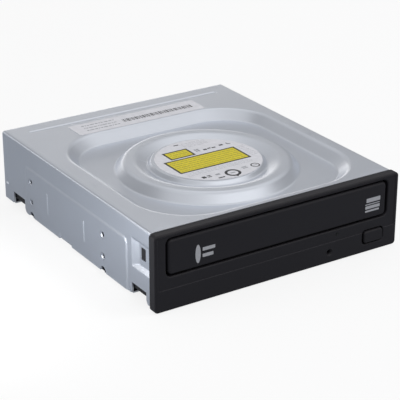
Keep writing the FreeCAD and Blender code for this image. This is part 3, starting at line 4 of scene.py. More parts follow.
import bmesh
import bpy
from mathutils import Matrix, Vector


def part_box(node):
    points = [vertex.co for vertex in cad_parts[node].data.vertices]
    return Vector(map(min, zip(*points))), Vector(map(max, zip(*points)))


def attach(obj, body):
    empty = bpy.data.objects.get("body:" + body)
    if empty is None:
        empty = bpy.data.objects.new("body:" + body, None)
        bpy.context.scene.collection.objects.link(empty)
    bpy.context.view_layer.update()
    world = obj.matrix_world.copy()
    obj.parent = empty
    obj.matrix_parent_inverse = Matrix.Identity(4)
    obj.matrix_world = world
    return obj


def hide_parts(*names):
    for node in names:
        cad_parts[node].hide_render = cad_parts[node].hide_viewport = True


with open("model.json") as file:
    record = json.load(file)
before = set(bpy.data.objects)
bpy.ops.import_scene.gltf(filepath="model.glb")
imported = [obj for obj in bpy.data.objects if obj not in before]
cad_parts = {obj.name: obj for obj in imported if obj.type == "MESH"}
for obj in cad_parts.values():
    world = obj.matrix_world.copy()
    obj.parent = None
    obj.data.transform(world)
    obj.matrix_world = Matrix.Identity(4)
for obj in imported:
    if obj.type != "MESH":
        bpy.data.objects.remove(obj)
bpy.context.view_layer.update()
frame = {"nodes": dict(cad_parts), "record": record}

# Camera: a long lens from the front left and above, at the height and turn of the photograph.
# The light comes out as plain colours, with no film look over it.
camera = bpy.data.objects.new("camera", bpy.data.cameras.new("camera"))
bpy.context.scene.collection.objects.link(camera)
camera.location = (-0.39506, -0.62075, 0.33658)
camera.rotation_euler = (math.radians(90 - 23.775), 0, math.radians(-32.756))
camera.data.sensor_width = 36
camera.data.lens = 133.34
bpy.context.scene.camera = camera
bpy.context.scene.view_settings.view_transform = "Standard"

# Top cover: one sheet of galvanised steel, drawn in a press. The disc ring stands in a wide
# recess, the sides and rear are folded down, and the sides carry pads, dents and drawn holes.
# Measures are in millimetres.
MM = 0.001
SHEET = 0.8
casing_low, casing_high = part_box("top_cover")
FRONT = casing_low.y
ROOF = casing_high.z / MM
REAR = (casing_high.y - FRONT) / MM
SIDE = 72.6
BEND = 1.8
SKIRT = 1.3
BACK_WALL_LOW = 27.0
RING_BACK = 132.5
DISC_Y = 63.5
SIDE_FOLD, REAR_FOLD = 58.0, 150.9
WELL_MIDDLE, WELL_HALF, WELL_CORNER = (1.5, 65.75), (63.0, 62.25), 32.0
GROOVE_Y, GROOVE_HALF, GROOVE_DEPTH = 148.5, 60.3, 0.5
PAD_MIDDLE, PAD_HALF, PAD_TOP, PAD_CORNER, PAD_RISE = 78.25, 55.75, 30.3, 4.0, 0.4
RIBS, RIB_RISE = (67.2, 107.5), 0.3
FRONT_DENT, REAR_DENT = 1.2, 1.0
HOLE_DEPTHS, HOLE_HEIGHTS, LUG = (47.4, 126.65), (10.0, 21.84), 2.1
SIDE_PANEL, PAST_SIDE = 73.0, 76.0
SEAT_DROP, RECESS_DROP = -0.3, -5.2


def at(x, y, z):
    """A point of the drive from millimetres, y counted from the casing's front edge."""
    return Vector((x * MM, FRONT + y * MM, z * MM))


def arc_path(corners, steps=5):
    """The points of a profile whose corners (a, b, radius) are turned into arcs."""
    path = []
    for number, (a, b, radius) in enumerate(corners):
        here = Vector((a, b))
        if not radius:
            path.append(here)
            continue
        before = (Vector(corners[number - 1][:2]) - here).normalized()
        after = (Vector(corners[number + 1][:2]) - here).normalized()
        half = before.angle(after) / 2
        centre = here + (before + after).normalized() * radius / math.sin(half)
        start = here + before * radius / math.tan(half) - centre
        end = here + after * radius / math.tan(half) - centre
        for step in range(steps + 1):
            share = step / steps
            path.append(centre + start.slerp(end, share).normalized() * radius)
    return path


def spread(low, high, step, fine=()):
    """Rising numbers from low to high, closer together round each fine place (middle, half width)."""
    count = max(1, round((high - low) / step))
    numbers = [low + (high - low) * index / count for index in range(count + 1)]
    for middle, half in fine:
        parts = max(2, round(2 * half / 0.3))
        numbers += [middle - half + 2 * half * index / parts for index in range(parts + 1)]
    kept = []
    for number in sorted(numbers):
        if low <= number <= high and (not kept or number - kept[-1] > 0.12):
            kept.append(number)
    if high - kept[-1] > 1e-6:
        kept[-1] = high
    return kept


def ramp(value, start, end):
    """From 0 at start to 1 at end, and level beyond them."""
    return min(1.0, max(0.0, (value - start) / (end - start)))


def soft(share):
    """The same share, eased at both ends."""
    return share * share * (3 - 2 * share)


def pad_height(y, z):
    """How far the side stands out from its flat: the raised pad, two ribs and two dents."""
    across = abs(y - PAD_MIDDLE) - (PAD_HALF - PAD_CORNER)
    above = z - (PAD_TOP - PAD_CORNER)
    reach = math.hypot(max(across, 0), max(above, 0)) + min(max(across, above), 0) - PAD_CORNER
    height = PAD_RISE * soft(ramp(-reach, 0, 2.0))
    for rib in RIBS:
        crest = soft(ramp(0.8 - abs(y - rib), 0, 0.6))
        height += RIB_RISE * crest * soft(min(ramp(z, 9.6, 10.4), ramp(-z, -22.4, -21.6)))
    # The front dent is a broad hollow round the window, the rear one a strip along the edge.
    front = min(ramp(-y, -19.0, -13.2), ramp(z, 16.4, 19.2), ramp(-z, -32.3, -30.9))
    rear = min(ramp(y, 155.6, 156.1), ramp(-y, -159.6, -156.1),
               ramp(z, 10.3, 11.8), ramp(-z, -39.3, -37.8))
    return height - FRONT_DENT * front - REAR_DENT * rear


def groove_depth(x, y):
    """The straight pressed groove behind the recess."""
    along = max(0.0, abs(x) - GROOVE_HALF)
    return GROOVE_DEPTH * soft(ramp(1.7 - math.hypot(along, y - GROOVE_Y), 0, 0.9))


def rim_reach(x, y, grow):
    """Signed distance from the recess outline, grown by some millimetres."""
    corner = WELL_CORNER + grow
    across = abs(x - WELL_MIDDLE[0]) - (WELL_HALF[0] + grow - corner)
    along = abs(y - WELL_MIDDLE[1]) - (WELL_HALF[1] + grow - corner)
    return math.hypot(max(across, 0), max(along, 0)) + min(max(across, along), 0) - corner


def on_outline(direction, grow):
    """Where a ray from the disc's middle meets the recess outline grown by some millimetres."""
    near, far = 0.0, 120.0
    for _ in range(28):
        middle = (near + far) / 2
        inside = rim_reach(direction.x * middle, DISC_Y + direction.y * middle, grow) < 0
        near, far = (middle, far) if inside else (near, middle)
    return direction.x * near, DISC_Y + direction.y * near


def inner_line(value, edge, start):
    """A line of the fold, moved in from the wall so that it ends at the bend's inner corner."""
    over = max(0.0, abs(value) - start)
    moved = min(abs(value), start) + over * (edge - BEND - start) / (edge - start)
    return math.copysign(moved, value)


def skin(rows):
    """Faces between rows of points of equal length."""
    for lower, upper in zip(rows, rows[1:]):
        for index in range(len(lower) - 1):
            corners = [lower[index], lower[index + 1], upper[index + 1], upper[index]]
            corners = [v for number, v in enumerate(corners) if v not in corners[:number]]
            if len(corners) > 2:
                sheet.faces.new(corners)


# The rows of points lie closer together where the sheet bends.
columns = spread(0, REAR, 1.7, [(13.2, 0.6), (19.0, 0.6), (23.5, 1.3), (67.2, 1.1), (107.5, 1.1),
                                (133.0, 1.3), (155.9, 0.7), (159.5, 0.5), (RING_BACK, 0.3)])
columns = sorted(set(columns) | {RING_BACK})
levels = spread(SKIRT, ROOF - BEND, 1.7, [(10.0, 0.5), (11.0, 0.8), (17.8, 1.5), (22.0, 0.5),
                                          (29.3, 1.2), (31.6, 0.9), (38.5, 0.8), (BACK_WALL_LOW, 0.2)])
levels = sorted(set(levels) | {BACK_WALL_LOW})
across = spread(-SIDE, SIDE, 2.2, [(-61.2, 1.2), (61.2, 1.2)])
depths = sorted({y for y in columns if y >= RING_BACK} | set(spread(146.2, 150.8, 0.3)))
columns = sorted({y for y in columns if y < RING_BACK} | set(depths))

sheet = bmesh.new()


def point(x, y, z):
    return sheet.verts.new(at(x, y, z))


inset = SIDE - BEND
plan = [(-inset, y) for y in columns if y <= RING_BACK]
plan += [(inner_line(x, SIDE, SIDE_FOLD), RING_BACK) for x in across[1:-1]]
plan += [(inset, y) for y in reversed(columns) if y <= RING_BACK]
plan += [(inner_line(x, SIDE, SIDE_FOLD), 0) for x in reversed(across[1:-1])]
ways = [Vector((x, y - DISC_Y)).normalized() for x, y in plan]

RING = arc_path([(0, SEAT_DROP, 0), (29.7, SEAT_DROP, 0.8), (31.6, -2.6, 1.3), (38.2, 0, 9.0),
                 (44.2, 0, 4.0), (49.0, RECESS_DROP, 2.0), (51.5, RECESS_DROP, 0)])
WELL = arc_path([(-8.5, RECESS_DROP, 0), (-5.8, RECESS_DROP, 2.4), (0, 0, 4.2), (2.4, 0, 0)])
loops = [[point(0, DISC_Y, ROOF + SEAT_DROP)] * len(ways)]
for radius, drop in [(12.0, SEAT_DROP), (21.0, SEAT_DROP)] + [tuple(step) for step in RING[1:]]:
    loops.append([point(way.x * radius, DISC_Y + way.y * radius, ROOF + drop) for way in ways])
for grow, drop in WELL:
    loops.append([point(*on_outline(way, grow), ROOF + drop) for way in ways])
loops.append([point(x, y, ROOF) for x, y in plan])
skin([loop + loop[:1] for loop in loops])

inner_across = [inner_line(x, SIDE, SIDE_FOLD) for x in across]
rows = []
for y in depths:
    depth = inner_line(y, REAR, REAR_FOLD)
    rows.append([point(x, depth, ROOF - groove_depth(x, depth)) for x in inner_across])
skin(rows)

turns = [math.radians(90 * step / 6) for step in range(7)]
for sign in (-1, 1):
    rows = []
    for turn in turns:
        rows.append([point(sign * (inset + BEND * math.sin(turn)),
                           inner_line(y, REAR, REAR_FOLD) * (1 - math.sin(turn)) + y * math.sin(turn),
                           ROOF - BEND + BEND * math.cos(turn)) for y in columns])
    for z in reversed(levels):
        rows.append([point(sign * (SIDE + pad_height(y, z)), y, z) for y in columns])
    skin(rows)
rows = []
for turn in turns:
    rows.append([point(inner_line(x, SIDE, SIDE_FOLD) * (1 - math.sin(turn)) + x * math.sin(turn),
                       REAR - BEND + BEND * math.sin(turn),
                       ROOF - BEND + BEND * math.cos(turn)) for x in across])
for z in reversed([level for level in levels if level >= BACK_WALL_LOW]):
    rows.append([point(x, REAR, z) for x in across])
skin(rows)
bmesh.ops.remove_doubles(sheet, verts=sheet.verts, dist=2e-6)
bmesh.ops.recalc_face_normals(sheet, faces=sheet.faces)
# The faces look outward, as the top one does.
top_face = min(sheet.faces, key=lambda face: (face.calc_center_median() - at(0, 140, ROOF)).length)
if top_face.normal.z < 0:
    bmesh.ops.reverse_faces(sheet, faces=sheet.faces)


def from_bmesh(name, made):
    """A new piece of the scene from the faces made for it."""
    mesh = bpy.data.meshes.new(name)
    made.to_mesh(mesh)
    made.free()
    piece = bpy.data.objects.new(name, mesh)
    bpy.context.scene.collection.objects.link(piece)
    return piece


def settle(piece):
    """Apply the piece's modifiers."""
    seen = bpy.context.evaluated_depsgraph_get()
    mesh = bpy.data.meshes.new_from_object(piece.evaluated_get(seen))
    piece.modifiers.clear()
    piece.data = mesh


def join_in(piece, tool, how):
    """Cut a tool out of a piece or join it on, and drop the tool."""
    step = piece.modifiers.new(how, "BOOLEAN")
    step.operation = how
    step.solver = "EXACT"
    step.object = tool
    settle(piece)
    bpy.data.objects.remove(tool)


def prism(made, outline, low, high, place):
    """A closed prism in a bmesh. place turns (u, v, w) into a point."""
    bottom = [made.verts.new(place(u, v, low)) for u, v in outline]
    top = [made.verts.new(place(u, v, high)) for u, v in outline]
    made.faces.new(bottom)
    made.faces.new(list(reversed(top)))
    for index, vert in enumerate(bottom):
        after = (index + 1) % len(bottom)
        made.faces.new([vert, top[index], top[after], bottom[after]])


def round_outline(u, v, radius, count=32):
    turns = [math.tau * index / count for index in range(count)]
    return [(u + radius * math.cos(turn), v + radius * math.sin(turn)) for turn in turns]


def through_side(u, v, w):
    """A point of an outline drawn as seen from the side, w millimetres across."""
    return at(w, u, v)


def punch_sides(outline):
    """Punch an outline (depth, height) through both sides of the casing."""
    prism(openings, outline, -PAST_SIDE, PAST_SIDE, through_side)


top_cover = from_bmesh("drawn_top_cover", sheet)
thick = top_cover.modifiers.new("sheet", "SOLIDIFY")
thick.thickness = SHEET * MM
thick.offset = -1
thick.use_even_offset = True
settle(top_cover)

openings = bmesh.new()
for hole_y in HOLE_DEPTHS:
    for hole_z in HOLE_HEIGHTS:
        punch_sides(round_outline(hole_y, hole_z, LUG))
    punch_sides(round_outline(hole_y, SKIRT - 0.01, 2.9))
# The bezel's window, then the notches along the lower edge.
punch_sides([(7.4, 22.6), (11.4, 22.6), (11.4, 29.1), (7.4, 29.1)])
punch_sides([(81.0, 0), (94.5, 0), (94.5, 2.2), (93.5, 3.2), (82.0, 3.2), (81.0, 2.2)])
for first, last, top in ((5.5, 19.0, 7.4), (135.5, 149.0, 8.3)):
    punch_sides([(first - 2.0, 0), (last + 2.0, 0), (last, 3.3), (last, top), (first, top), (first, 3.3)])
# A shallow cone dimples the roof on either side of the ring.
for x in (-67.5, 67.5):
    tip = openings.verts.new(at(x, DISC_Y, ROOF - 0.35))
    rim = [openings.verts.new(at(u, v, ROOF + 0.35)) for u, v in round_outline(x, DISC_Y, 2.4, 24)]
    openings.faces.new(rim)
    for index, vert in enumerate(rim):
        openings.faces.new([vert, tip, rim[(index + 1) % len(rim)]])
bmesh.ops.recalc_face_normals(openings, faces=openings.faces)
join_in(top_cover, from_bmesh("punch", openings), "DIFFERENCE")

# Each screw hole has a drawn lip that reaches inward from the raised panel.
finished = bmesh.new()
finished.from_mesh(top_cover.data)
LIP = arc_path([(LUG, -0.8, 0), (LUG, 0, 0.35), (1.95, -0.05, 0), (1.25, -0.55, 0), (1.25, -2.2, 0),
                (1.7, -2.2, 0), (1.7, -0.9, 0)], 3)
for sign in (-1, 1):
    for hole_y in HOLE_DEPTHS:
        for hole_z in HOLE_HEIGHTS:
            rings = []
            for radius, sink in LIP:
                wall = sign * (SIDE_PANEL + sink)
                rings.append([finished.verts.new(at(wall, u, v))
                              for u, v in round_outline(hole_y, hole_z, radius - 0.005)])
            for one, two in zip(rings, rings[1:] + rings[:1]):
                for index, vert in enumerate(one):
                    after = (index + 1) % len(one)
                    face = [vert, one[after], two[after], two[index]]
                    finished.faces.new(face if sign > 0 else list(reversed(face)))
finished.to_mesh(top_cover.data)
finished.free()


def shade(piece, angle=35):
    """Smooth shading with sharp edges kept, and flat faces kept flat."""
    piece.data.shade_smooth()
    piece.data.set_sharp_from_angle(angle=math.radians(angle))
    even = piece.modifiers.new("even", "WEIGHTED_NORMAL")
    even.keep_sharp = True
    settle(piece)


shade(top_cover)


def new_finish(name):
    made = bpy.data.materials.new(name)
    made.use_nodes = True
    return made, made.node_tree.nodes, made.node_tree.links, made.node_tree.nodes["Principled BSDF"]


def noise(nodes, wires, scale, detail, place=None):
    """A cloudy pattern from 0 to 1, at a place if one is given."""
    cloud = nodes.new("ShaderNodeTexNoise")
    cloud.inputs["Scale"].default_value = scale
    cloud.inputs["Detail"].default_value = detail
    if place is not None:
        wires.new(place, cloud.inputs["Vector"])
    return cloud.outputs["Fac"]


def rescaled(nodes, wires, value, inputs):
    """A value carried from one range to another."""
    carried = nodes.new("ShaderNodeMapRange")
    for name, number in inputs.items():
        carried.inputs[name].default_value = number
    wires.new(value, carried.inputs["Value"])
    return carried.outputs["Result"]


def mottled(nodes, wires, colour, swing, pattern):
    """A colour that a pattern makes a little darker and lighter."""
    tone = nodes.new("ShaderNodeMix")
    tone.data_type = "RGBA"
    tone.inputs["A"].default_value = (*[part * (1 - swing) for part in colour], 1)
    tone.inputs["B"].default_value = (*[part * (1 + swing) for part in colour], 1)
    wires.new(pattern, tone.inputs["Factor"])
    return tone.outputs["Result"]


def edge_wear_and_sheen_patches(nodes, wires, tone, wear_and_sheen_mask, rubbed):
    """Mix a lighter colour over a tone, in broken patches, where the mask says so: rubbed wear on the
    plastics, rubbed wear with a painted highlight on the steel.
    """
    broken = nodes.new("ShaderNodeMath")
    broken.operation = "MULTIPLY"
    wires.new(wear_and_sheen_mask, broken.inputs[0])
    wires.new(noise(nodes, wires, 90, 4), broken.inputs[1])
    mixed = nodes.new("ShaderNodeMix")
    mixed.data_type = "RGBA"
    mixed.inputs["B"].default_value = (*[min(1, part) for part in rubbed], 1)
    wires.new(broken.outputs["Value"], mixed.inputs["Factor"])
    wires.new(tone, mixed.inputs["A"])
    return mixed.outputs["Result"]


def textured(nodes, wires, shader, pattern, roughness, swing, depth):
    """Roughness that follows a pattern, and the same pattern as a shallow bump."""
    sheen = rescaled(nodes, wires, pattern, {"To Min": roughness - swing, "To Max": roughness + swing})
    wires.new(sheen, shader.inputs["Roughness"])
    bump = nodes.new("ShaderNodeBump")
    bump.inputs["Strength"].default_value = depth
    bump.inputs["Distance"].default_value = 0.0001
    wires.new(pattern, bump.inputs["Height"])
    wires.new(bump.outputs["Normal"], shader.inputs["Normal"])


def steel_finish(name, colour, roughness, metallic, grain):
    """Coated sheet steel: an uneven sheen with the fine streaks of the rolling mill, its sharp edges and
    bends lighter, partly as rubbed wear and partly as a painted highlight.
    """
    made, nodes, wires, shader = new_finish(name)
    shader.inputs["Metallic"].default_value = metallic
    place = nodes.new("ShaderNodeTexCoord").outputs["Object"]
    drawn_out = nodes.new("ShaderNodeMapping")
    drawn_out.inputs["Scale"].default_value = (1, grain, grain)
    wires.new(place, drawn_out.inputs["Vector"])
    streaks = noise(nodes, wires, 160, 5, drawn_out.outputs["Vector"])
    tone = mottled(nodes, wires, colour, 0.05, noise(nodes, wires, 26, 3, place))
    # Sharp edges and bends, found by pointiness, get a lighter colour: partly rubbed wear, partly a painted
    # highlight along the bends.
    pointed = nodes.new("ShaderNodeNewGeometry").outputs["Pointiness"]
    wear_and_sheen_mask = rescaled(nodes, wires, pointed, {"From Min": 0.54, "From Max": 0.62})
    edge_wear_and_highlight = edge_wear_and_sheen_patches(nodes, wires, tone, wear_and_sheen_mask, [part * 1.2 for part in colour])
    wires.new(edge_wear_and_highlight, shader.inputs["Base Color"])
    textured(nodes, wires, shader, streaks, roughness, 0.05, 0.06)
    return made


def dress(piece, made):
    piece.data.materials.clear()
    piece.data.materials.append(made)


casing_steel = steel_finish("galvanised_sheet", (0.72, 0.75, 0.81), 0.36, 1.0, 6)
dress(top_cover, casing_steel)
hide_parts("top_cover")
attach(top_cover, "drive")


def redress(node, made):
    """Give a carried-over solid its finish."""
    solid = frame["nodes"][node]
    for material_slot in solid.material_slots:
        material_slot.material = made


redress("bottom_cover", casing_steel)

# Front bezel: moulded in black plastic with a fine spark texture. Its face has a rounded rim, a
# shallow field round the tray's mouth, and two arms that snap into the casing's windows.
FACE = -5.0
FIELD = -4.7
AHEAD = FACE - 0.2
BEHIND = -2.9


def corner_box(x0, x1, z0, z1, radius, grow=0.0, count=7):
    """A rectangle with rounded corners, grown by some millimetres."""
    x0, x1, z0, z1, radius = x0 - grow, x1 + grow, z0 - grow, z1 + grow, radius + grow
    outline = []
    for x, z, quarter in ((x1 - radius, z1 - radius, 0), (x0 + radius, z1 - radius, 1),
                          (x0 + radius, z0 + radius, 2), (x1 - radius, z0 + radius, 3)):
        for step in range(count + 1):
            turn = math.radians(90 * (quarter + step / count))
            outline.append((x + radius * math.cos(turn), z + radius * math.sin(turn)))
    return outline


def facing(u, v, w):
    """A point of an outline drawn as seen from the front, w millimetres back."""
    return at(u, w, v)


def lofted(made, levels):
    """A closed solid through outlines of equal length, each (outline, level)."""
    rings = [[made.verts.new(facing(u, v, w)) for u, v in outline] for outline, w in levels]
    made.faces.new(rings[0])
    made.faces.new(list(reversed(rings[-1])))
    for one, two in zip(rings, rings[1:]):
        for index, vert in enumerate(one):
            after = (index + 1) % len(one)
            made.faces.new([vert, two[index], two[after], one[after]])


def round_edge(radius, front, steps=5):
    """The (grow, level) steps of an outward edge rounded at its front."""
    turns = [math.radians(90 * step / steps) for step in range(steps + 1)]
    return [(-radius * (1 - math.cos(turn)), front + radius * (1 - math.sin(turn))) for turn in turns]


def mouth_edge(radius, front):
    """The (grow, level) steps of an opening's edge, rounded where it meets the face."""
    turns = [math.radians(90 * step / 5) for step in range(6)]
    return [(radius * (1 - math.sin(turn)), front + radius * (1 - math.cos(turn))) for turn in turns]


def solid_of(name, box, steps):
    """A solid through a rounded box at its (grow, level) steps."""
    made = bmesh.new()
    lofted(made, [(corner_box(*box, grow=grow), level) for grow, level in steps])
    bmesh.ops.recalc_face_normals(made, faces=made.faces)
    return from_bmesh(name, made)


BEZEL = (-74.0, 74.0, 0.2, 41.1, 2.0)
SUNK = (-72.0, 72.0, 11.9, 39.8, 0.8)
HOLLOW = (-72.4, 72.4, 1.8, 39.5, 1.0)
COLLAR = (-68.25, 68.25, 17.2, 39.4, 4.0)
MOUTH = (-67.4, 67.4, 18.1, 38.5, 3.1)
BUTTON_HOLE = (51.5, 65.0, 5.0, 13.0, 2.0)
LAMP_HOLE = (35.1, 15.2)
RELEASE = (30.3, 6.3)
bezel = solid_of("moulded_bezel", BEZEL, [(0, 0)] + round_edge(1.0, FACE))
join_in(bezel, solid_of("field", SUNK, [(0.35, AHEAD), (0.0, FIELD)]), "DIFFERENCE")
join_in(bezel, solid_of("back", HOLLOW, [(0, FACE + 2.0), (0, 0.1)]), "DIFFERENCE")
join_in(bezel, solid_of("collar", COLLAR, [(0, FACE + 1.9), (0, 0)]), "UNION")
mouth_steps = [(0.8, AHEAD)] + mouth_edge(0.8, FIELD) + [(0, 0.2)]
join_in(bezel, solid_of("mouth", MOUTH, mouth_steps), "DIFFERENCE")
button_steps = [(0.6, AHEAD)] + mouth_edge(0.6, FACE + 0.05) + [(0, BEHIND)]
join_in(bezel, solid_of("button_hole", BUTTON_HOLE, button_steps), "DIFFERENCE")
small = bmesh.new()
lofted(small, [(round_outline(*LAMP_HOLE, radius, 24), level)
               for radius, level in ((1.0, AHEAD), (1.0, FIELD), (0.75, FIELD + 0.3), (0.75, BEHIND))])
lofted(small, [(round_outline(*RELEASE, radius), level)
               for radius, level in ((2.2, AHEAD), (2.0, FACE), (1.75, FACE + 0.15), (1.2, FACE + 1.0),
                                     (1.0, FACE + 1.4), (1.0, BEHIND))])
bmesh.ops.recalc_face_normals(small, faces=small.faces)
join_in(bezel, from_bmesh("small_holes", small), "DIFFERENCE")
ARM_WALL = 70.5
for sign in (-1, 1):
    arm = sorted((sign * (ARM_WALL - 1.5), sign * ARM_WALL))
    hook = sorted((sign * (ARM_WALL - 0.75), sign * (ARM_WALL + 0.9)))
    join_in(bezel, solid_of("arm", (*arm, 20.2, 31.0, 0.3), [(0, -3.2), (0, 12.6)]), "UNION")
    join_in(bezel, solid_of("hook", (*hook, 22.9, 28.8, 0.3), [(0, 7.7), (0, 11.1)]), "UNION")
shade(bezel, 28)


def plastic_finish(name, colour, roughness, grain, depth, rubbed=1.0):
    """Moulded plastic with the fine spark texture of its mould, rubbed at its edges where handled."""
    made, nodes, wires, shader = new_finish(name)
    specks = noise(nodes, wires, grain, 4, nodes.new("ShaderNodeTexCoord").outputs["Object"])
    surface_colour = mottled(nodes, wires, colour, 0.14, specks)
    if rubbed > 1:
        rounded = nodes.new("ShaderNodeBevel")
        rounded.inputs["Radius"].default_value = 0.0005
        turned = nodes.new("ShaderNodeVectorMath")
        turned.operation = "DOT_PRODUCT"
        wires.new(nodes.new("ShaderNodeNewGeometry").outputs["Normal"], turned.inputs[0])
        wires.new(rounded.outputs["Normal"], turned.inputs[1])
        wear_and_sheen_mask = rescaled(nodes, wires, turned.outputs["Value"], {"From Min": 0.995, "From Max": 0.93})
        light = [part * rubbed for part in colour]
        surface_colour = edge_wear_and_sheen_patches(nodes, wires, surface_colour, wear_and_sheen_mask, light)
    wires.new(surface_colour, shader.inputs["Base Color"])
    textured(nodes, wires, shader, specks, roughness, 0.08, depth)
    return made


bezel_black = plastic_finish("textured_black", (0.0165, 0.0153, 0.0185), 0.5, 1800, 0.35, 2.2)
bezel_black.node_tree.nodes["Principled BSDF"].inputs["Specular IOR Level"].default_value = 0.27
dress(bezel, bezel_black)
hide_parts("front_bezel")
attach(bezel, "drive")

# Tray door: the front of the tray, a separate black moulding clipped on. Its edge is rounded, and
# it carries two plain marks in silver ink, a disc seen from the side and a stack of bars.
DOOR_FACE = (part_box("tray_door")[0].y - FRONT) / MM
DOOR = (-66.2, 66.2, 19.0, 37.5, 2.4)
door = solid_of("moulded_door", DOOR, [(0, DOOR_FACE + 3.0)] + round_edge(1.4, DOOR_FACE, 7))
shade(door, 28)
dress(door, bezel_black)
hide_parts("tray_door")
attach(door, "tray")

silver_ink = plastic_finish("silver_ink", (0.5, 0.5, 0.52), 0.45, 1500, 0.05)
INK = 0.015
BARS = ((-46.8, -39.6, 27.2, 29.0), (-46.8, -40.6, 23.8, 25.6), (53.4, 62.4, 28.2, 30.5),
        (52.6, 62.2, 26.9, 27.4), (52.8, 62.2, 24.6, 26.3), (52.8, 61.8, 22.9, 23.9))
inked = bmesh.new()
oval = [(-49.4 + 1.5 * u, 26.2 + 4.9 * v) for u, v in round_outline(0, 0, 1, 40)]
for mark in [oval] + [corner_box(*bar, 0.25) for bar in BARS]:
    lofted(inked, [(mark, DOOR_FACE - INK), (mark, DOOR_FACE)])
bmesh.ops.recalc_face_normals(inked, faces=inked.faces)
marks = from_bmesh("door_marks", inked)
dress(marks, silver_ink)
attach(marks, "tray")

# Eject button: a black cap with rounded edges, a flange behind the bezel that keeps it in, and a
# stem that reaches back to the switch.
button_low, button_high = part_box("eject_button")
CAP_FACE = (button_low.y - FRONT) / MM
STEM_END = (button_high.y - FRONT) / MM
CAP = (52.2, 64.3, 5.7, 12.3, 1.65)
FLANGE = (50.6, 65.9, 4.1, 13.9, 0.4)
FLANGE_FRONT, FLANGE_BACK = -2.85, -1.85
cap = bmesh.new()
for outline, steps in ((CAP, [(0, FLANGE_FRONT)] + round_edge(0.9, CAP_FACE, 6)),
                       (FLANGE, [(0, FLANGE_BACK), (0, FLANGE_FRONT)])):
    lofted(cap, [(corner_box(*outline, grow=grow), level) for grow, level in steps])
stem = round_outline(58.25, 9.0, 1.5)
lofted(cap, [(stem, STEM_END), (stem, FLANGE_BACK)])
bmesh.ops.recalc_face_normals(cap, faces=cap.faces)
button = from_bmesh("moulded_button", cap)
shade(button, 28)
dress(button, bezel_black)
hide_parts("eject_button")
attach(button, "button")

# Parts inside and behind: the frame, tray, gears, motors, pickup, boards, socket and screws. They
# are mouldings, turned and pressed steel, cast metal, rubber and circuit board, and each of these
# solids keeps its shape and takes the finish of what it is made of.
frame_black = plastic_finish("moulded_black", (0.012, 0.0117, 0.0135), 0.48, 900, 0.15, 2.0)
frame_black.node_tree.nodes["Principled BSDF"].inputs["Specular IOR Level"].default_value = 0.3
white_acetal = plastic_finish("white_acetal", (0.8, 0.79, 0.74), 0.4, 700, 0.05)
grey_plastic = plastic_finish("grey_plastic", (0.28, 0.29, 0.31), 0.45, 800, 0.1)
board_green = plastic_finish("board_green", (0.03, 0.16, 0.07), 0.35, 500, 0.05)
rubber = plastic_finish("soft_rubber", (0.02, 0.02, 0.02), 0.75, 900, 0.2)
bright_steel = steel_finish("bright_steel", (0.55, 0.56, 0.58), 0.3, 1.0, 6)
cast_metal = steel_finish("cast_metal", (0.45, 0.46, 0.48), 0.5, 0.9, 1)
lens_blue = plastic_finish("coated_lens", (0.12, 0.18, 0.4), 0.12, 300, 0.0)
lamp_plastic = plastic_finish("smoked_clear", (0.003, 0.004, 0.003), 0.35, 300, 0.0)
FINISHES = {
    "steel_part": bright_steel, "frame_black": frame_black, "tray_black": frame_black,
    "gear_white": white_acetal, "grey_moulding": grey_plastic, "board_green": board_green,
    "chip_black": frame_black, "socket_black": frame_black, "belt_rubber": rubber,
    "pad_rubber": rubber, "magnet_steel": bright_steel, "cast_metal": cast_metal,
    "lens_clear": lens_blue, "guide_clear": lamp_plastic, "lamp_lens": lamp_plastic,
    "screw_steel": bright_steel,
}
for part in frame["record"]["subparts"]:
    if part["material_slot"] in FINISHES:
        redress(part["node"], FINISHES[part["material_slot"]])

# Labels: a round paper label on the disc ring and a long one behind the recess, stuck down on the
# steel. Their print is plain fields, rings and bars that say nothing, each a thin skin of ink.
label_white = plastic_finish("label_paper", (0.68, 0.68, 0.72), 0.6, 400, 0.02)
label_yellow = plastic_finish("label_yellow", (0.66, 0.56, 0.02), 0.6, 400, 0.02)
label_dark = plastic_finish("label_olive", (0.025, 0.024, 0.01), 0.5, 400, 0.02)
label_ink = plastic_finish("label_ink", (0.015, 0.016, 0.02), 0.5, 400, 0.02)
label_grey = plastic_finish("label_grey", (0.3, 0.31, 0.34), 0.5, 400, 0.02)


def plate(name, outlines, low, high, finish):
    """Flat outlines (x, y) as one piece of paper or ink, lying on the casing."""
    made = bmesh.new()
    for outline in outlines:
        prism(made, outline, low, high, at)
    bmesh.ops.recalc_face_normals(made, faces=made.faces)
    piece = from_bmesh(name, made)
    dress(piece, finish)
    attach(piece, "drive")
    return piece


def box_outline(x0, x1, y0, y1):
    return [(x0, y0), (x1, y0), (x1, y1), (x0, y1)]


def ring_outlines(u, v, outer, inner, count=24):
    """A printed ring as short four-sided pieces set end to end."""
    out, back = round_outline(u, v, outer, count), round_outline(u, v, inner, count)
    return [[out[index - 1], out[index], back[index], back[index - 1]] for index in range(count)]


def ruled(x0, x1, y0, rows, pitch, thick, breaks):
    """Rows of short dashes of uneven length, as a column of small print looks from far off."""
    dashes = []
    for row in range(rows):
        x, turn = x0, row
        while x < x1:
            dash = breaks[turn % len(breaks)]
            dashes.append(box_outline(x, min(x + dash, x1), y0 - row * pitch, y0 - row * pitch + thick))
            x, turn = x + dash + 0.5, turn + 1
    return dashes


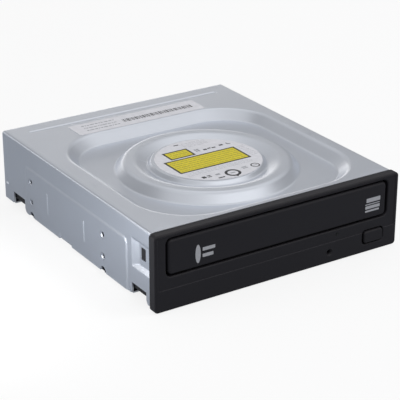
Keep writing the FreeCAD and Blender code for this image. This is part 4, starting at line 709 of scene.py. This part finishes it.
label_low, label_high = (corner.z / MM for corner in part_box("top_label"))
LABEL_X = 0.8
paper = round_outline(LABEL_X, DISC_Y, 28.6, 96)
round_label = plate("round_label", [paper], label_low, label_high, label_white)
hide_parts("top_label")
PRINT = 0.012
LINE = 1.15
fields = [(-16.8, -1.4, 72.0, 82.2), (-22.5, 21.6, 53.5, 70.9)]
borders = [box_outline(*field) for field in fields]
plate("label_borders", borders, label_high, label_high + PRINT, label_dark)
colours = [box_outline(x0 + LINE, x1 - LINE, y0 + LINE, y1 - LINE) for x0, x1, y0, y1 in fields]
plate("label_fields", colours, label_high, label_high + 2 * PRINT, label_yellow)
faint = ruled(-14.6, -3.4, 79.4, 3, 2.3, 0.25, (2.6, 1.4, 3.2, 1.9))
faint += ruled(-20.2, 19.6, 67.6, 6, 2.3, 0.25, (3.4, 1.6, 4.6, 2.2, 5.2, 1.2))
plate("label_field_lines", faint, label_high + 2 * PRINT, label_high + 3 * PRINT, label_dark)
solid_marks = [box_outline(*bar) for bar in (
    (5.4, 7.6, 74.8, 76.3), (8.2, 10.3, 75.4, 76.6), (10.8, 13.2, 75.0, 76.2), (16.0, 18.4, 75.7, 77.3),
    (20.8, 23.0, 75.5, 76.1), (20.8, 21.4, 76.1, 77.6), (-5.2, -2.2, 88.3, 89.3), (-16.0, -13.8, 42.1, 44.5),
    (-12.9, -10.6, 42.1, 42.9), (-12.9, -10.6, 43.7, 44.5), (-9.0, -5.2, 38.1, 39.2), (0.6, 1.8, 35.8, 36.8))]
solid_marks += ring_outlines(1.2, 40.8, 4.4, 2.9) + ring_outlines(16.8, 43.2, 2.6, 1.9)
plate("label_marks", solid_marks, label_high, label_high + PRINT, label_ink)
grey_marks = [box_outline(*bar) for bar in (
    (0.9, 1.7, 74.8, 78.6), (2.2, 3.4, 74.8, 78.6), (-8.0, -5.4, 42.2, 44.0), (8.8, 11.8, 42.2, 43.0),
    (8.8, 11.8, 43.7, 44.6), (-0.2, 2.6, 40.3, 41.3), (15.7, 17.9, 42.9, 43.5))]
grey_marks += ruled(-20.6, 19.4, 51.6, 3, 1.5, 0.2, (5.0, 2.4, 7.2, 3.1, 4.0))
grey_marks += ruled(-2.0, 14.0, 88.2, 4, 1.6, 0.2, (3.0, 1.8, 4.4, 2.2))
grey_marks += ruled(23.2, 27.4, 70.0, 8, 2.0, 0.2, (2.6, 1.1))
plate("label_small_print", grey_marks, label_high, label_high + PRINT, label_grey)

strip_low, strip_high = (corner.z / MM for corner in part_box("rear_label"))
PAPER_TOP = strip_high - PRINT
strip = corner_box(-40.0, 41.5, 129.0, 144.5, 1.5, count=6)
strip_label = plate("strip_label", [strip], strip_low, PAPER_TOP, label_white)
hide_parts("rear_label")
bars = []
x, turn = -9.0, 0
while x < 36.0:
    wide = (0.3, 0.6, 0.3, 0.9, 0.45)[turn % 5]
    bars.append(box_outline(x, x + wide, 134.3, 138.4))
    x, turn = x + wide + (0.4, 0.7, 0.5)[turn % 3], turn + 1
plate("strip_bars", bars, PAPER_TOP, strip_high, label_ink)
dashes = ruled(-33.6, -12.6, 140.2, 3, 3.6, 0.9, (1.9, 0.9, 1.4, 2.6))
plate("strip_small_print", dashes, PAPER_TOP, strip_high, label_grey)

# Floor and light: a painted studio floor, pale to the camera, in a bright even room. Soft lamps
# stand in front, behind, overhead and low on the left, as for a catalogue picture.
FLOOR_HALF, FLOOR_GAP = 4, 0.00005
FLOOR_SEEN = 0.82
FLOOR_IN_METAL = 0.2
ROOM_LEVEL = 0.39
floor = bmesh.new()
floor.faces.new([floor.verts.new((x * FLOOR_HALF, y * FLOOR_HALF, 0))
                 for x, y in ((-1, -1), (1, -1), (1, 1), (-1, 1))])
ground = from_bmesh("studio_floor", floor)
ground.location.z = -FLOOR_GAP
floor_paint, nodes, wires, paint = new_finish("studio_paint")
paint.inputs["Base Color"].default_value = (0.2, 0.23, 0.275, 1)
paint.inputs["Roughness"].default_value = 0.9
paint.inputs["Specular IOR Level"].default_value = 0
pale_paint = nodes.new("ShaderNodeBsdfDiffuse")
pale_paint.inputs["Color"].default_value = (0.9, 0.9, 0.9, 1)
glow = nodes.new("ShaderNodeEmission")
glow.inputs["Strength"].default_value = 1
rays = nodes.new("ShaderNodeLightPath")


def blended(share, one, two):
    """One shader, changing to the other by a share."""
    blend = nodes.new("ShaderNodeMixShader")
    wires.new(share, blend.inputs["Fac"])
    wires.new(one, blend.inputs[1])
    wires.new(two, blend.inputs[2])
    return blend.outputs["Shader"]


def reckoned(kind, one, two):
    """Two sockets, or a socket and a number, put together."""
    step = nodes.new("ShaderNodeMath")
    step.operation = kind
    wires.new(one, step.inputs[0])
    if isinstance(two, float):
        step.inputs[1].default_value = two
    else:
        wires.new(two, step.inputs[1])
    return step.outputs["Value"]


coat = blended(rays.outputs["Is Camera Ray"], paint.outputs["BSDF"], pale_paint.outputs["BSDF"])
seen = reckoned("MULTIPLY", rays.outputs["Is Camera Ray"], FLOOR_SEEN)
mirrored = reckoned("MULTIPLY", rays.outputs["Is Glossy Ray"], FLOOR_IN_METAL)
shown = reckoned("MAXIMUM", reckoned("MAXIMUM", seen, rays.outputs["Is Transmission Ray"]), mirrored)
lit = blended(shown, coat, glow.outputs["Emission"])
wires.new(lit, nodes["Material Output"].inputs["Surface"])
dress(ground, floor_paint)

world = bpy.data.worlds.new("studio")
bpy.context.scene.world = world
world.use_nodes = True
backdrop = world.node_tree.nodes["Background"]
backdrop.inputs["Color"].default_value = (0.97, 0.98, 1, 1)
backdrop.inputs["Strength"].default_value = ROOM_LEVEL


def soft_lamp(name, way, size, watts, distance=1.5, colour=(1, 1, 1), mirrored=True):
    """A soft lamp that stands some metres off in a given way and faces the drive."""
    lamp = bpy.data.objects.new(name, bpy.data.lights.new(name, "AREA"))
    bpy.context.scene.collection.objects.link(lamp)
    lamp.location = Vector(way).normalized() * distance
    lamp.rotation_euler = (-lamp.location).to_track_quat("-Z", "Y").to_euler()
    lamp.data.shape = "RECTANGLE"
    lamp.data.size, lamp.data.size_y = size
    lamp.data.energy = watts
    lamp.data.color = colour
    lamp.visible_camera = False
    lamp.visible_glossy = mirrored


soft_lamp("key_lamp", (0.42, -0.32, 0.84), (0.45, 0.45), 4.3, mirrored=False)
soft_lamp("overhead_softbox", (0.02, -0.05, 1), (2.8, 1.8), 6)
soft_lamp("front_softbox", (0.2, -0.75, 0.6), (2.2, 1.3), 6.3)
soft_lamp("rear_softbox", (0.5, 0.7, 1.0), (2.6, 1.0), 1.9)
soft_lamp("warm_softbox", (0.26, 0.95, 0.13), (1.2, 0.35), 1.8, colour=(1, 0.97, 0.93))
soft_lamp("edge_softbox", (-0.62, 0.77, 0.18), (0.5, 0.25), 0.6)
soft_lamp("left_softbox", (-0.2, -0.025, 0.03), (0.08, 0.08), 0.14, distance=0.2)
